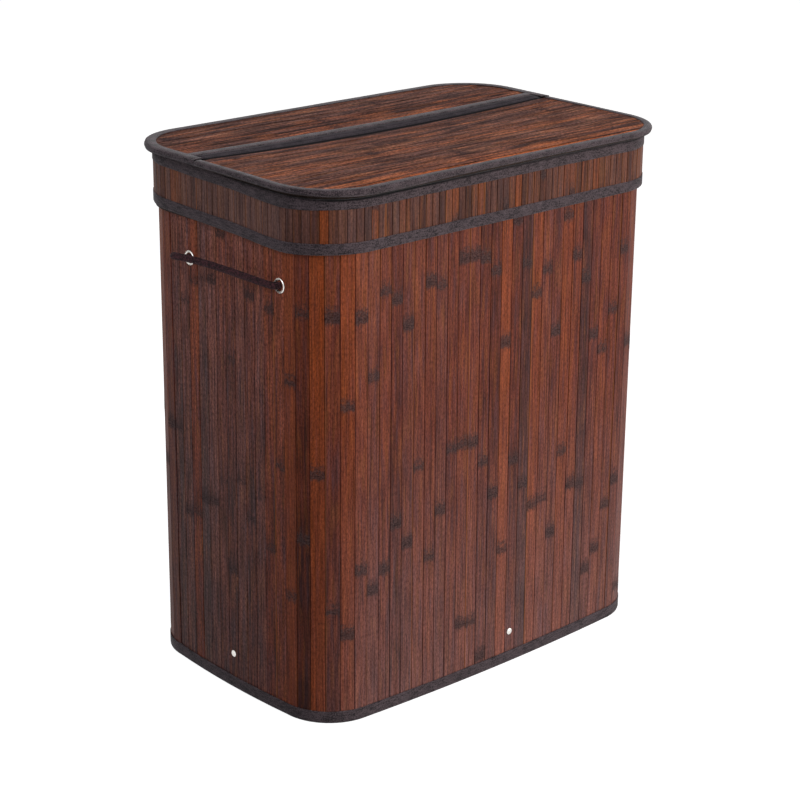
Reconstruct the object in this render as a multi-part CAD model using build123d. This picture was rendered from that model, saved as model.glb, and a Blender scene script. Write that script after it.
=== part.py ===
"""Laundry hamper of bamboo slats with a skirted lift-off lid, a folding lid flap and rope handles.

Frame: origin at the middle of the footprint on the floor, +X along the long front wall,
+Y to the rear, +Z up. All sizes are in millimetres.
"""
from build123d import *
from math import cos, hypot, pi, radians, sin, tan
import os

os.makedirs("parts", exist_ok=True)

# ------------------------------------------------------------------ driving dimensions
# Body, measured over the outer faces of its slats
body_length = 504.0
body_depth = 316.6
corner_radius = 61.5
overall_height = 600.0
front_bow = 6.0              # how far the long walls belly out at the floor, at mid-length
side_bow = 4.0               # the same for the short walls

# Bamboo slats
slat_pitch = 16.0            # nominal; each stretch of wall takes a whole number of slats
slat_thickness = 2.0
slat_gap = 0.6
slat_bevel = 0.4             # the back of a slat is narrower by this much on each side
skirt_slat_pitch = 9.3
skirt_slat_thickness = 1.5

# Non-woven cloth and edge tape
cloth_thickness = 0.6
glue_line = 0.1
tape_thickness = 0.6
tape_ease = 0.15             # room between a folded tape and the wall inside it
foot_tape_height = 14.0
rim_tape_height = 14.0
seam_tape_width = 40.0
seam_tape_thickness = 0.5
seam_from_left = 60.0        # from the end of the rear wall's straight stretch to the seam tape

# Lid
lid_overhang = 14.2          # the lid's edge stands out from the body by this much
skirt_offset = 5.0           # outer faces of the skirt's slats, out from the body's
skirt_depth = 62.8
skirt_top_tape = 15.8
skirt_bottom_tape = 11.5
panel_gap = 0.3              # flap's underside above the skirt, and panel's above the rim
lining_thickness = 0.5
board_thickness = 3.0
edge_tape_width = 13.0
edge_tape_over = 1.2         # edge tape standing above the panel's slats
edge_tape_under = 0.7
edge_tape_wall = 1.0
hinge_cloth_width = 17.0
hinge_cloth_thickness = 0.8
hinge_cloth_drop = 1.5       # top of the hinge cloth under the lid's top
hinge_axis_rise = 0.5        # the fold's axis above the lid's top
flap_edge_y = 33.0           # rear edge of the flap
flap_clearance = 0.4

# Base
base_height = 48.0           # underside of the base board
base_thickness = 4.0
base_cloth_thickness = 0.6
base_edge_gap = 1.6          # base board to wall cloth
bracket_width = 22.0
bracket_shelf = 24.0
bracket_leg = 20.0
bracket_thickness = 1.0
rivet_head_diameter = 7.0
rivet_head_height = 1.3
rivet_shank_diameter = 3.2
rivet_hole_clearance = 0.15
clinch_diameter = 5.6
clinch_height = 1.0
front_rivet_x = 22.9
front_rivet_height = 37.8
side_rivet_y = -7.4
side_rivet_height = 41.4

# Rope handles
rope_diameter = 7.6
near_eyelet_inset = 5.7      # from the front end of an end wall's straight stretch
far_eyelet_inset = 35.2      # from its rear end
near_eyelet_drop = 40.7      # below the lid's skirt
far_eyelet_drop = 44.0
eyelet_bore = 11.5
eyelet_wall = 0.6
eyelet_flange = 18.0
eyelet_flange_height = 1.2
eyelet_lip = 15.5
eyelet_lip_height = 0.85
washer_diameter = 18.5
washer_thickness = 0.8
seat_gap = 0.15              # under rivet heads, and between stopper knots and eyelets
lining_gap = 0.3             # from the wall's cloth to the washers, brackets and tape on it
knot_diameter = 15.6
rope_pivot_out = 5.8         # where the loop bends as it swings, out from the slats
rope_route = [               # (out from the slats, share of the way to the far eyelet, rise)
    (rope_pivot_out, 0.0, 0.0),
    (8.8, 0.092, -0.6),
    (11.4, 0.289, -1.2),
    (14.5, 0.577, -1.0),
    (18.5, 0.813, 0.1),
    (21.5, 0.924, 0.8),
    (22.0, 0.993, 0.8),
    (16.5, 1.032, -0.2),
    (rope_pivot_out, 1.0, near_eyelet_drop - far_eyelet_drop),
]

# ------------------------------------------------------------------ derived places
RIGHT, REAR, LEFT, FRONT = range(4)
SIDE_NAMES = {RIGHT: "right", REAR: "rear", LEFT: "left", FRONT: "front"}

rear_panel_bottom = overall_height - (edge_tape_over + slat_thickness + board_thickness
                                      + lining_thickness + edge_tape_under + panel_gap)
flap_bottom = rear_panel_bottom + panel_gap
skirt_top = rear_panel_bottom
skirt_bottom = skirt_top - skirt_depth
rim_top = rear_panel_bottom - panel_gap
slat_foot = tape_thickness + tape_ease
slat_head = rim_top - tape_thickness - tape_ease
cloth_out = -(slat_thickness + glue_line)
cloth_in = cloth_out - cloth_thickness
skirt_cloth_out = skirt_offset - skirt_slat_thickness - glue_line
skirt_cloth_in = skirt_cloth_out - cloth_thickness
lid_slat_top = overall_height - edge_tape_over
lid_board_top = lid_slat_top - slat_thickness
lid_board_bottom = lid_board_top - board_thickness
lid_lining_bottom = lid_board_bottom - lining_thickness
panel_edge_y = flap_edge_y + hinge_cloth_width
hinge_axis = ((flap_edge_y + panel_edge_y) / 2, overall_height + hinge_axis_rise)
half_lid_x = body_length / 2 + lid_overhang
half_lid_y = body_depth / 2 + lid_overhang
reach = body_length + overall_height   # longer than anything that it has to cut


# ------------------------------------------------------------------ plan of the walls
def outward(side):
    return Vector(round(cos(side * pi / 2)), round(sin(side * pi / 2)), 0)


def along(side):
    """Direction along a wall, anticlockwise seen from above."""
    return outward(side + 1)


def half_width(side):
    return body_length / 2 if side in (RIGHT, LEFT) else body_depth / 2


def half_run(side):
    """Half of a wall's straight stretch, between its corners."""
    return half_width(side + 1 if side < FRONT else RIGHT) - corner_radius


def bow_at(side, height):
    """Belly of a wall at mid-length; it fades from the floor to nothing at the rim."""
    full = side_bow if side in (RIGHT, LEFT) else front_bow
    return full * max(0.0, 1 - height / rim_top)


def wall_out(side, place, height):
    """Distance of the slats' outer faces from the middle plane, at a place along the wall."""
    return half_width(side) + bow_at(side, height) * (1 - (place / half_run(side)) ** 2)


def wall_point(side, place, height, offset=0.0):
    out = wall_out(side, place, height) + offset
    return outward(side) * out + along(side) * place + Vector(0, 0, height)


def wall_turn(side, place, height):
    """Angle, in radians, by which the bowed wall turns from its side's own direction."""
    return 2 * bow_at(side, height) * place / half_run(side) ** 2


def wall_edge(side, first, last, offset, height):
    """Edge along a wall, an arc where the wall is bowed."""
    start, end = (wall_point(side, s, height, offset) for s in (first, last))
    middle = wall_point(side, (first + last) / 2, height, offset)
    if (middle - (start + end) / 2).length < glue_line / 5:
        return Edge.make_line(start, end)
    return Edge.make_three_point_arc(start, middle, end)


def corner_centre(side):
    """Centre of the corner that follows a side, anticlockwise."""
    return (outward(side) * (half_width(side) - corner_radius)
            + along(side) * half_run(side))


def corner_point(side, turn, radius):
    """Point on the corner that follows a side; turn goes from 0 to a right angle."""
    angle = side * pi / 2 + turn
    return corner_centre(side) + Vector(cos(angle), sin(angle), 0) * radius


def plan(offset=0.0, height=None):
    """The body's outline as a face, grown by offset, straight-sided where no height is given."""
    level = rim_top if height is None else height
    edges = []
    for side in range(4):
        run = half_run(side)
        edges.append(wall_edge(side, -run, run, offset, level))
        radius = corner_radius + offset
        lift = Vector(0, 0, level)
        points = [corner_point(side, turn, radius) + lift for turn in (0, pi / 4, pi / 2)]
        edges.append(Edge.make_three_point_arc(*points))
    return Face(Wire(edges))


def slab(offset, bottom, top, height=None):
    """Solid of the body's outline between two levels."""
    face = plan(offset, height)
    lift = bottom - face.center().Z
    return Pos(0, 0, lift) * extrude(face, top - bottom, dir=(0, 0, 1))


def wrapped_ring(outer, inner, edge, opening, height=None):
    """Tape folded over a wall's edge; edge is its closed level and opening its free one."""
    low, high = sorted((edge, opening))
    tape = slab(outer, low, high, height) - slab(inner, low, high, height)
    fold = tape_thickness if opening > edge else -tape_thickness
    low, high = sorted((edge + fold, opening))
    hollow = (slab(outer - tape_thickness, low, high, height)
              - slab(inner + tape_thickness, low, high, height))
    return tape - hollow


# ------------------------------------------------------------------ pieces of the walls
def slat(low, high, low_turn, high_turn, width, thickness):
    """A slat between two points of its outer face; each turn is the way it faces, in radians."""
    half = width / 2
    section = [(-half, 0), (half, 0), (half - slat_bevel, -thickness),
               (-half + slat_bevel, -thickness)]
    wires = []
    for point, turn in ((low, low_turn), (high, high_turn)):
        normal = Vector(cos(turn), sin(turn), 0)
        tangent = Vector(-sin(turn), cos(turn), 0)
        wires.append(Wire.make_polygon([point + tangent * x + normal * y for x, y in section]))
    return Solid.make_loft(wires, ruled=True)


def wall_slats(side, pitch, bottom, top, offset, thickness):
    """The slats along one wall's straight stretch."""
    count = max(1, round(2 * half_run(side) / pitch))
    step = 2 * half_run(side) / count
    bowed = offset == 0
    slats = []
    for number in range(count):
        place = (number + 0.5) * step - half_run(side)
        ends = []
        for level in (bottom, top):
            height = level if bowed else rim_top
            point = wall_point(side, place, height, offset)
            turn = side * pi / 2 + wall_turn(side, place, height)
            ends.append((Vector(point.X, point.Y, level), turn))
        (low, low_turn), (high, high_turn) = ends
        slats.append(slat(low, high, low_turn, high_turn, step - slat_gap, thickness))
    return slats


def corner_slat_width(pitch, radius):
    count = max(2, round(radius * pi / 2 / pitch))
    return count, radius * pi / 2 / count - slat_gap


def corner_slats(pitch, bottom, top, offset, thickness):
    """The slats round the four corners, each one flat and square to the curve."""
    radius = corner_radius + offset
    count, width = corner_slat_width(pitch, radius)
    slats = []
    for side in range(4):
        for number in range(count):
            turn = (number + 0.5) * pi / 2 / count
            point = corner_point(side, turn, radius)
            facing = side * pi / 2 + turn
            ends = [Vector(point.X, point.Y, level) for level in (bottom, top)]
            slats.append(slat(*ends, facing, facing, width, thickness))
    return slats


def corner_rise(pitch, offset):
    """How far the long edges of a corner's flat slats stand out from its curve."""
    radius = corner_radius + offset
    return hypot(radius, corner_slat_width(pitch, radius)[1] / 2) - radius


def wall_strip(side, first, last, outer, inner, bottom, top, bowed=True):
    """A layer of cloth on one wall, between two offsets and two levels."""
    wires = []
    for level in (bottom, top):
        height = level if bowed else rim_top
        front = wall_edge(side, first, last, outer, height)
        back = wall_edge(side, first, last, inner, height)
        ends = [Edge.make_line(front @ 1, back @ 1), Edge.make_line(back @ 0, front @ 0)]
        wire = Wire([front, ends[0], back, ends[1]])
        wires.append(Pos(0, 0, level - height) * wire)
    return Solid.make_loft(wires, ruled=True)


def corner_strips(outer, inner, bottom, top):
    """The same layer of cloth round the four corners."""
    strips = []
    for side in range(4):
        arcs = [[corner_point(side, turn, corner_radius + offset)
                 for turn in (0, pi / 4, pi / 2)] for offset in (outer, inner)]
        front, back = (Edge.make_three_point_arc(*points) for points in arcs)
        ends = [Edge.make_line(arcs[0][2], arcs[1][2]), Edge.make_line(arcs[1][0], arcs[0][0])]
        face = Face(Wire([front, ends[0], back, ends[1]]))
        strips.append(Pos(0, 0, bottom) * extrude(face, top - bottom, dir=(0, 0, 1)).solid())
    return strips


def seat(side, place, height):
    """Location on a wall's slats: its +X points out of the wall and its +Z up."""
    return Location(wall_point(side, place, height)) * Rot(0, 0, 90 * side)


def spindle(radius, start, end):
    """Cylinder along the local X axis, from one distance out of the wall to another."""
    return Pos((start + end) / 2, 0, 0) * Rot(0, 90, 0) * Cylinder(radius, abs(end - start))


def bore_all(pieces, cutters):
    """Take holes out of a list of solids, only where a hole comes near."""
    bored = []
    for piece in pieces:
        box = piece.bounding_box()
        for cutter in cutters:
            other = cutter.bounding_box()
            apart = (box.min.X > other.max.X or other.min.X > box.max.X
                     or box.min.Y > other.max.Y or other.min.Y > box.max.Y
                     or box.min.Z > other.max.Z or other.min.Z > box.max.Z)
            if not apart:
                piece = (piece - cutter).solid()
        bored.append(piece)
    return bored


def save(node, *pieces):
    shape = pieces[0] if len(pieces) == 1 else Compound(list(pieces))
    export_step(shape, f"parts/{node}.step")


# ------------------------------------------------------------------ body
rivet_seats = {
    FRONT: seat(FRONT, front_rivet_x, front_rivet_height),
    REAR: seat(REAR, -front_rivet_x, front_rivet_height),
    LEFT: seat(LEFT, -side_rivet_y, side_rivet_height),
    RIGHT: seat(RIGHT, side_rivet_y, side_rivet_height),
}
near_eyelet_y = near_eyelet_inset - half_run(LEFT)
far_eyelet_y = half_run(LEFT) - far_eyelet_inset
eyelet_places = [(near_eyelet_y, skirt_bottom - near_eyelet_drop),
                 (far_eyelet_y, skirt_bottom - far_eyelet_drop)]
eyelet_seats = {
    LEFT: [seat(LEFT, -y, z) for y, z in eyelet_places],
    RIGHT: [seat(RIGHT, y, z) for y, z in eyelet_places],
}
barrel_radius = eyelet_bore / 2 + eyelet_wall
flange_seat = corner_rise(slat_pitch, 0) + glue_line   # an eyelet may lie over a corner's slat
washer_face = cloth_in - lining_gap - washer_thickness - glue_line
hole_depth = 3 * (slat_thickness + cloth_thickness)


def wall_holes(side):
    rivet_hole = spindle(rivet_shank_diameter / 2 + rivet_hole_clearance, -hole_depth, hole_depth)
    holes = [rivet_seats[side] * rivet_hole]
    for place in eyelet_seats.get(side, []):
        holes.append(place * spindle(barrel_radius + rivet_hole_clearance, -hole_depth, hole_depth))
    return holes


def make_walls():
    for side, name in SIDE_NAMES.items():
        holes = wall_holes(side)
        slats = wall_slats(side, slat_pitch, slat_foot, slat_head, 0, slat_thickness)
        save(f"{name}_slats", *bore_all(slats, holes))
        run = half_run(side)
        cloth = wall_strip(side, -run, run, cloth_out, cloth_in, slat_foot, slat_head)
        save(f"{name}_wall_cloth", *bore_all([cloth], holes))
    holes = wall_holes(LEFT) + wall_holes(RIGHT)
    slats = corner_slats(slat_pitch, slat_foot, slat_head, 0, slat_thickness)
    save("corner_slats", *bore_all(slats, holes))
    cloth = corner_strips(cloth_out, cloth_in, slat_foot, slat_head)
    save("corner_wall_cloth", *bore_all(cloth, holes))


def make_body_tapes():
    outer = corner_rise(slat_pitch, 0) + tape_ease + tape_thickness
    inner = cloth_in - tape_ease - tape_thickness
    save("foot_binding", wrapped_ring(outer, inner, 0, foot_tape_height, foot_tape_height / 2))
    save("rim_binding", wrapped_ring(outer, inner, rim_top, rim_top - rim_tape_height))
    first = half_run(REAR) - seam_from_left - seam_tape_width
    low = foot_tape_height + tape_ease
    high = rim_top - rim_tape_height - tape_ease
    face = cloth_in - lining_gap
    save("seam_tape", wall_strip(REAR, first, first + seam_tape_width, face,
                                 face - seam_tape_thickness, low, high))


def bracket(side):
    """Angle bracket: its leg lies on the wall's cloth and its shelf carries the base board."""
    drop = base_height - rivet_seats[side].position.Z
    back = cloth_in - lining_gap
    leg = Pos(back - bracket_thickness / 2, 0, drop - bracket_leg / 2) * Box(
        bracket_thickness, bracket_width, bracket_leg)
    shelf = Pos(back - bracket_shelf / 2, 0, drop - bracket_thickness / 2) * Box(
        bracket_shelf, bracket_width, bracket_thickness)
    hole = spindle(rivet_shank_diameter / 2 + rivet_hole_clearance, -hole_depth, hole_depth)
    return rivet_seats[side] * (leg + shelf - hole)


def rivet(side):
    clinch_face = cloth_in - lining_gap - bracket_thickness
    head = spindle(rivet_head_diameter / 2, seat_gap, seat_gap + rivet_head_height)
    rim = head.edges().filter_by(GeomType.CIRCLE).sort_by(Axis.X)[-1]
    head = fillet(rim, rivet_head_height * 0.7)
    shank = spindle(rivet_shank_diameter / 2, clinch_face, seat_gap + rivet_head_height / 2)
    clinch = spindle(clinch_diameter / 2, clinch_face - clinch_height, clinch_face)
    return rivet_seats[side] * (head + shank + clinch)


def make_base():
    offset = cloth_in - base_edge_gap
    top = base_height + base_thickness
    level = base_height + base_thickness / 2
    save("base_board", slab(offset, base_height, top, level))
    save("base_cloth", slab(offset, top, top + base_cloth_thickness, level))
    save("base_brackets", *(bracket(side).solid() for side in rivet_seats))
    save("base_rivets", *(rivet(side).solid() for side in rivet_seats))


# ------------------------------------------------------------------ handles
def eyelet():
    flange = spindle(eyelet_flange / 2, flange_seat, flange_seat + eyelet_flange_height)
    rim = flange.edges().filter_by(GeomType.CIRCLE).sort_by(Axis.X)[-1]
    flange = fillet(rim, eyelet_flange_height * 0.7)
    barrel = spindle(barrel_radius, washer_face, flange_seat + eyelet_flange_height / 2)
    lip = spindle(eyelet_lip / 2, washer_face - eyelet_lip_height, washer_face)
    bore = spindle(eyelet_bore / 2, -2 * hole_depth, 2 * hole_depth)
    return flange + barrel + lip - bore


def washer():
    face = cloth_in - lining_gap
    ring = spindle(washer_diameter / 2, face - washer_thickness, face)
    return ring - spindle(barrel_radius + rivet_hole_clearance, -2 * hole_depth, 2 * hole_depth)


def knotted_end():
    """The rope's end inside the wall: a stub through the eyelet, tied in a stopper knot."""
    knot = knot_diameter / 2
    stub = rope_diameter / 2
    centre = washer_face - eyelet_lip_height - seat_gap - knot
    neck = centre + (knot ** 2 - stub ** 2) ** 0.5
    outline = [
        Edge.make_three_point_arc((centre - knot, 0), (centre, knot), (neck, stub)),
        Edge.make_line((neck, stub), (0, stub)),
        Edge.make_line((0, stub), (0, 0)),
        Edge.make_line((0, 0), (centre - knot, 0)),
    ]
    return revolve(Face(Wire(outline)), Axis.X)


def rope_points(side):
    facing = outward(side)
    (start_y, start_z), (end_y, _) = eyelet_places
    return [facing * (half_width(side) + out)
            + Vector(0, start_y + share * (end_y - start_y), start_z + rise)
            for out, share, rise in rope_route]


def route_radii(points):
    """The largest arc that each corner's two runs leave room for."""
    radii = []
    for before, at, after in zip(points, points[1:], points[2:]):
        shorter = min((at - before).length, (after - at).length)
        turn = (at - before).get_angle(after - at)
        radii.append(0.45 * shorter / tan(radians(turn) / 2))
    return radii


def handle_rope(side):
    """The rope's loop outside the wall, with rounded ends that turn in the eyelets' mouths."""
    points = rope_points(side)
    radii = route_radii(points)
    path = FilletPolyline(*points, radius=radii)
    section = Plane(origin=path @ 0, z_dir=path % 0) * Circle(rope_diameter / 2)
    tube = sweep(section, path=path)
    straight = path.length * pi * rope_diameter ** 2 / 4
    print(f"{SIDE_NAMES[side]} rope {path.length:.1f} mm long, radii",
          [round(radius, 1) for radius in radii], f"volume share {tube.volume / straight:.4f}")
    ends = [Location(point) * Sphere(rope_diameter / 2) for point in (points[0], points[-1])]
    return tube + ends[0] + ends[1]


def make_handles():
    rings, washers = [], []
    for side, places in eyelet_seats.items():
        name = SIDE_NAMES[side]
        rings += [(place * eyelet()).solid() for place in places]
        washers += [(place * washer()).solid() for place in places]
        save(f"{name}_handle_knots", *((place * knotted_end()).solid() for place in places))
        save(f"{name}_handle_rope", handle_rope(side).solid())
    save("handle_eyelets", *rings)
    save("eyelet_washers", *washers)


# ------------------------------------------------------------------ lid
def make_skirt():
    foot = skirt_bottom + tape_thickness + tape_ease
    head = skirt_top - tape_thickness - tape_ease
    for side, name in SIDE_NAMES.items():
        save(f"skirt_{name}_slats", *wall_slats(side, skirt_slat_pitch, foot, head,
                                                skirt_offset, skirt_slat_thickness))
        run = half_run(side)
        save(f"skirt_{name}_cloth", wall_strip(side, -run, run, skirt_cloth_out,
                                               skirt_cloth_in, foot, head, bowed=False))
    save("skirt_corner_slats", *corner_slats(skirt_slat_pitch, foot, head, skirt_offset,
                                             skirt_slat_thickness))
    save("skirt_corner_cloth", *corner_strips(skirt_cloth_out, skirt_cloth_in, foot, head))
    outer = skirt_offset + corner_rise(skirt_slat_pitch, skirt_offset) + tape_ease + tape_thickness
    inner = skirt_cloth_in - tape_ease - tape_thickness
    save("skirt_top_binding", wrapped_ring(outer, inner, skirt_top, skirt_top - skirt_top_tape))
    save("skirt_bottom_binding", wrapped_ring(outer, inner, skirt_bottom,
                                              skirt_bottom + skirt_bottom_tape))


def part_of_lid(inset, bottom, top, first_y, last_y):
    """Slab of the lid's outline, inset from its edge, between two levels and two lines of y."""
    window = Pos(0, (first_y + last_y) / 2, overall_height) * Box(
        reach, last_y - first_y, reach)
    return slab(lid_overhang - inset, bottom, top) & window


def lid_slats(first_y, last_y):
    """The slats of a lid panel, laid along X."""
    inset = edge_tape_wall + glue_line
    count = max(1, round((last_y - first_y) / slat_pitch))
    step = (last_y - first_y) / count
    slats = []
    for number in range(count):
        start = first_y + number * step
        slats.append(part_of_lid(inset, lid_board_top, lid_slat_top, start + slat_gap / 2,
                                 start + step - slat_gap / 2).solid())
    return slats


def save_panel(name, first_y, last_y):
    """The layers of a lid panel between two lines of y: lining, board and slats."""
    inset = edge_tape_wall + glue_line
    save(f"{name}_lining", part_of_lid(inset, lid_lining_bottom, lid_board_bottom,
                                       first_y, last_y))
    save(f"{name}_board", part_of_lid(inset, lid_board_bottom, lid_board_top, first_y, last_y))
    save(f"{name}_slats", *lid_slats(first_y, last_y))


def make_rear_panel():
    start = panel_edge_y + edge_tape_wall
    save_panel("rear_panel", start + glue_line, half_lid_y - edge_tape_wall - glue_line)
    ears_y = flap_edge_y + flap_clearance
    tape = part_of_lid(0, rear_panel_bottom, overall_height, ears_y, half_lid_y)
    tape -= part_of_lid(edge_tape_wall, lid_lining_bottom, lid_slat_top, start, half_lid_y)
    window_y = panel_edge_y + edge_tape_width
    for bottom, top in ((lid_slat_top, overall_height), (rear_panel_bottom, lid_lining_bottom)):
        tape -= part_of_lid(edge_tape_width, bottom, top, window_y, half_lid_y)
    notch = Pos(0, panel_edge_y - reach / 2, overall_height) * Box(
        2 * (half_lid_x - edge_tape_width), reach, reach)
    save("rear_panel_binding", (tape - notch).solid())
    top = overall_height - hinge_cloth_drop
    size = (2 * (half_lid_x - edge_tape_width), hinge_cloth_width - flap_clearance,
            hinge_cloth_thickness)
    middle_y = (flap_edge_y + flap_clearance + panel_edge_y) / 2
    save("hinge_cloth", Pos(0, middle_y, top - hinge_cloth_thickness / 2) * Box(*size))


def make_flap():
    save_panel("flap", -half_lid_y + edge_tape_wall + glue_line, flap_edge_y)
    tape = part_of_lid(0, flap_bottom, overall_height, -half_lid_y, flap_edge_y)
    tape -= part_of_lid(edge_tape_wall, lid_lining_bottom, lid_slat_top, -half_lid_y, flap_edge_y)
    for bottom, top in ((lid_slat_top, overall_height), (flap_bottom, lid_lining_bottom)):
        tape -= part_of_lid(edge_tape_width, bottom, top, -half_lid_y, flap_edge_y)
    save("flap_binding", tape.solid())


make_walls()
make_body_tapes()
make_base()
make_handles()
make_skirt()
make_rear_panel()
make_flap()
print("hinge axis y, z", hinge_axis, "rope pivot x", body_length / 2 + rope_pivot_out,
      "eyelets y, z", eyelet_places)
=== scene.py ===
"""Looks of the bamboo laundry hamper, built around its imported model. All sizes are in metres."""

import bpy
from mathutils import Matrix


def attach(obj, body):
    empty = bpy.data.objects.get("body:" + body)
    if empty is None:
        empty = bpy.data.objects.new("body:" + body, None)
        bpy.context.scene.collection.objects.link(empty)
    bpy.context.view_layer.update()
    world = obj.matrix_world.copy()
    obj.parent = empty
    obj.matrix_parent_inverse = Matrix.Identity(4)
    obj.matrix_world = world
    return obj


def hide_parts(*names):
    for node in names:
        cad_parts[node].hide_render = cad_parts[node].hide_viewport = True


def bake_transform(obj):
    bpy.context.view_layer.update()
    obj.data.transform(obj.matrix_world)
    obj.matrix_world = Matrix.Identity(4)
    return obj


bl_info = {
    "name": "Bamboo Laundry Hamper",
    "version": (1, 0, 0),
    "blender": (4, 5, 0),
    "location": "View3D > Sidebar > Hamper",
    "description": "Slats, edge tapes, rope handles and metal fittings of a lidded laundry hamper",
    "category": "Add Mesh",
}
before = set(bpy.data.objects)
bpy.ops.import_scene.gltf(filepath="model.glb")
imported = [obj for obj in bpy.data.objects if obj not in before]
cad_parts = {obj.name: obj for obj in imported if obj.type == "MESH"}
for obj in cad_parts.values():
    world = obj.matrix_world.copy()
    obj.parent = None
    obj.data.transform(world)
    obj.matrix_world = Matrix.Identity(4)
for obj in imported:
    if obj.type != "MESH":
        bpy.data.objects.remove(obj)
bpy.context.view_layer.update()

import math
import random
from functools import partial
from math import cos, pi, radians, sin
from typing import NamedTuple

import bmesh
import bpy
from bpy.props import FloatProperty, FloatVectorProperty, IntProperty, PointerProperty
from mathutils import Matrix, Vector, noise

MM = 0.001

# ------------------------------------------------------------------ sizes shared with the solids
BODY_LENGTH = 0.504
BODY_DEPTH = 0.3166
CORNER_RADIUS = 0.0615
HEIGHT = 0.600
FRONT_BOW = 0.006
SIDE_BOW = 0.004
SLAT_PITCH = 0.016
SLAT_THICKNESS = 0.002
SKIRT_PITCH = 0.0093
SKIRT_SLAT_THICKNESS = 0.0015
SKIRT_OFFSET = 0.005
SKIRT_BOTTOM = 0.5295
SKIRT_TOP = 0.5923
RIM_TOP = 0.5920
SLAT_FOOT = 0.00075
TAPE = 0.0006
LID_OVERHANG = 0.0142
LID_SLAT_TOP = 0.5988
LID_BOARD_TOP = 0.5968
LID_BOARD_BOTTOM = 0.5938
LID_LINING_BOTTOM = 0.5933
EDGE_TAPE_WIDTH = 0.013
FLAP_REAR = 0.033
PANEL_FRONT = 0.050
HINGE_Y = 0.0415
ROPE_DIAMETER = 0.0076
EYELETS = ((-0.0911, 0.4888), (0.0616, 0.4855))
RIVET_X = 0.0229
RIVET_Z = 0.0378
SIDE_RIVET_Y = -0.0074
SIDE_RIVET_Z = 0.0414
WASHER_FACE = -0.0039
ROPE_ROUTE = (            # out from the slats, share of the way to the far eyelet, rise
    (0.0058, 0.0, 0.0), (0.0088, 0.092, 0.0006), (0.0114, 0.289, 0.0022),
    (0.0145, 0.577, 0.0036), (0.0188, 0.813, 0.0042), (0.0224, 0.924, 0.0040),
    (0.0234, 0.993, 0.0032), (0.0172, 1.032, 0.0008), (0.0058, 1.0, -0.0033),
)
CORNER_STEPS = 16
LID_EDGE = LID_OVERHANG - 0.0011        # outer edge of the lid's strips and boards, in the tape
PANEL_START = PANEL_FRONT + 0.0011      # front edge of the rear panel's strips and boards
END_PLAY = 0.00015                      # between a strip's end and the fold of its tape
EDGE_ROW = 0.0011                       # from a strip's long edge to its first row of points
HIGHLIGHT_EDGE = 0.0006                      # width of the painted highlight along one long edge of some strips
BODY_TAPE = (0.00124, -0.00345)         # outer and inner face of a folded tape, from the wall
SKIRT_TAPE = (0.0059, 0.00205)
BODY_TAPE_HEIGHT = 0.014
SKIRT_TAPE_HEIGHTS = (0.0123, 0.0158)   # on its lower and its upper edge
FLAP_TAPE_WIDTH = 0.0098
X, Y, Z = (1, 0, 0), (0, 1, 0), (0, 0, 1)

RIGHT, REAR, LEFT, FRONT = range(4)
SIDE_NAMES = {RIGHT: "right", REAR: "rear", LEFT: "left", FRONT: "front"}


def clamp(value, low=0.0, high=1.0):
    return max(low, min(high, value))


def progress(value, start, span):
    """How far a value has come from start along a span, from 0 to 1."""
    return clamp((value - start) / span)


def hump(value, middle, width):
    """Smooth hill, 1 at its middle and fading to both sides."""
    return math.exp(-((value - middle) / width) ** 2)


def arc(middle, reach_x, reach_y, degrees):
    """Points of an ellipse at these angles."""
    return [(middle[0] + reach_x * cos(radians(a)), middle[1] + reach_y * sin(radians(a)))
            for a in degrees]


def outward(side):
    return Vector((round(cos(side * pi / 2)), round(sin(side * pi / 2)), 0))


def along(side):
    return outward(side + 1)


def half_width(side):
    return BODY_LENGTH / 2 if side in (RIGHT, LEFT) else BODY_DEPTH / 2


def half_run(side):
    """Half of a wall's straight stretch, between its corners."""
    return (BODY_DEPTH if side in (RIGHT, LEFT) else BODY_LENGTH) / 2 - CORNER_RADIUS


def bow_at(side, height):
    """Belly of a wall at mid-length; it fades from the floor to nothing at the rim."""
    full = SIDE_BOW if side in (RIGHT, LEFT) else FRONT_BOW
    return full * max(0.0, 1 - height / RIM_TOP)


def wall_seat(side, place, height, bowed=True):
    """Point of a wall's outer face, the way along the wall there and the way out of it."""
    bow = bow_at(side, height) if bowed else 0.0
    share = place / half_run(side)
    point = (outward(side) * (half_width(side) + bow * (1 - share ** 2))
             + along(side) * place + Vector((0, 0, height)))
    turn = side * pi / 2 + 2 * bow * share / half_run(side)
    return point, Vector((-sin(turn), cos(turn), 0)), Vector((cos(turn), sin(turn), 0))


def corner_seat(side, turn, height, offset=0.0):
    """The same on the corner that follows a side; turn goes from 0 to a right angle."""
    angle = side * pi / 2 + turn
    out = Vector((cos(angle), sin(angle), 0))
    centre = (outward(side) * (half_width(side) - CORNER_RADIUS) + along(side) * half_run(side))
    return (centre + out * (CORNER_RADIUS + offset) + Vector((0, 0, height)),
            Vector((-sin(angle), cos(angle), 0)), out)


def plan_normal(co):
    """The way out of the rounded plan at a point of it."""
    run_x, run_y = half_run(FRONT), half_run(RIGHT)
    over = Vector((max(0.0, abs(co.x) - run_x), max(0.0, abs(co.y) - run_y), 0))
    if over.x > 0 and over.y > 0:
        return Vector((math.copysign(over.x, co.x), math.copysign(over.y, co.y), 0)).normalized()
    if abs(co.x) - BODY_LENGTH / 2 > abs(co.y) - BODY_DEPTH / 2:
        return Vector((math.copysign(1, co.x), 0, 0))
    return Vector((0, math.copysign(1, co.y), 0))


def flap_lie(x, y):
    """How far the whole flap lies below the rear panel; its two free corners droop as well."""
    corner = (abs(x) / (BODY_LENGTH / 2)) ** 3 * max(0.0, -y / (BODY_DEPTH / 2)) ** 2
    return sag_sizes().flap_drop + sag_sizes().corner_drop * corner


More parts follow.
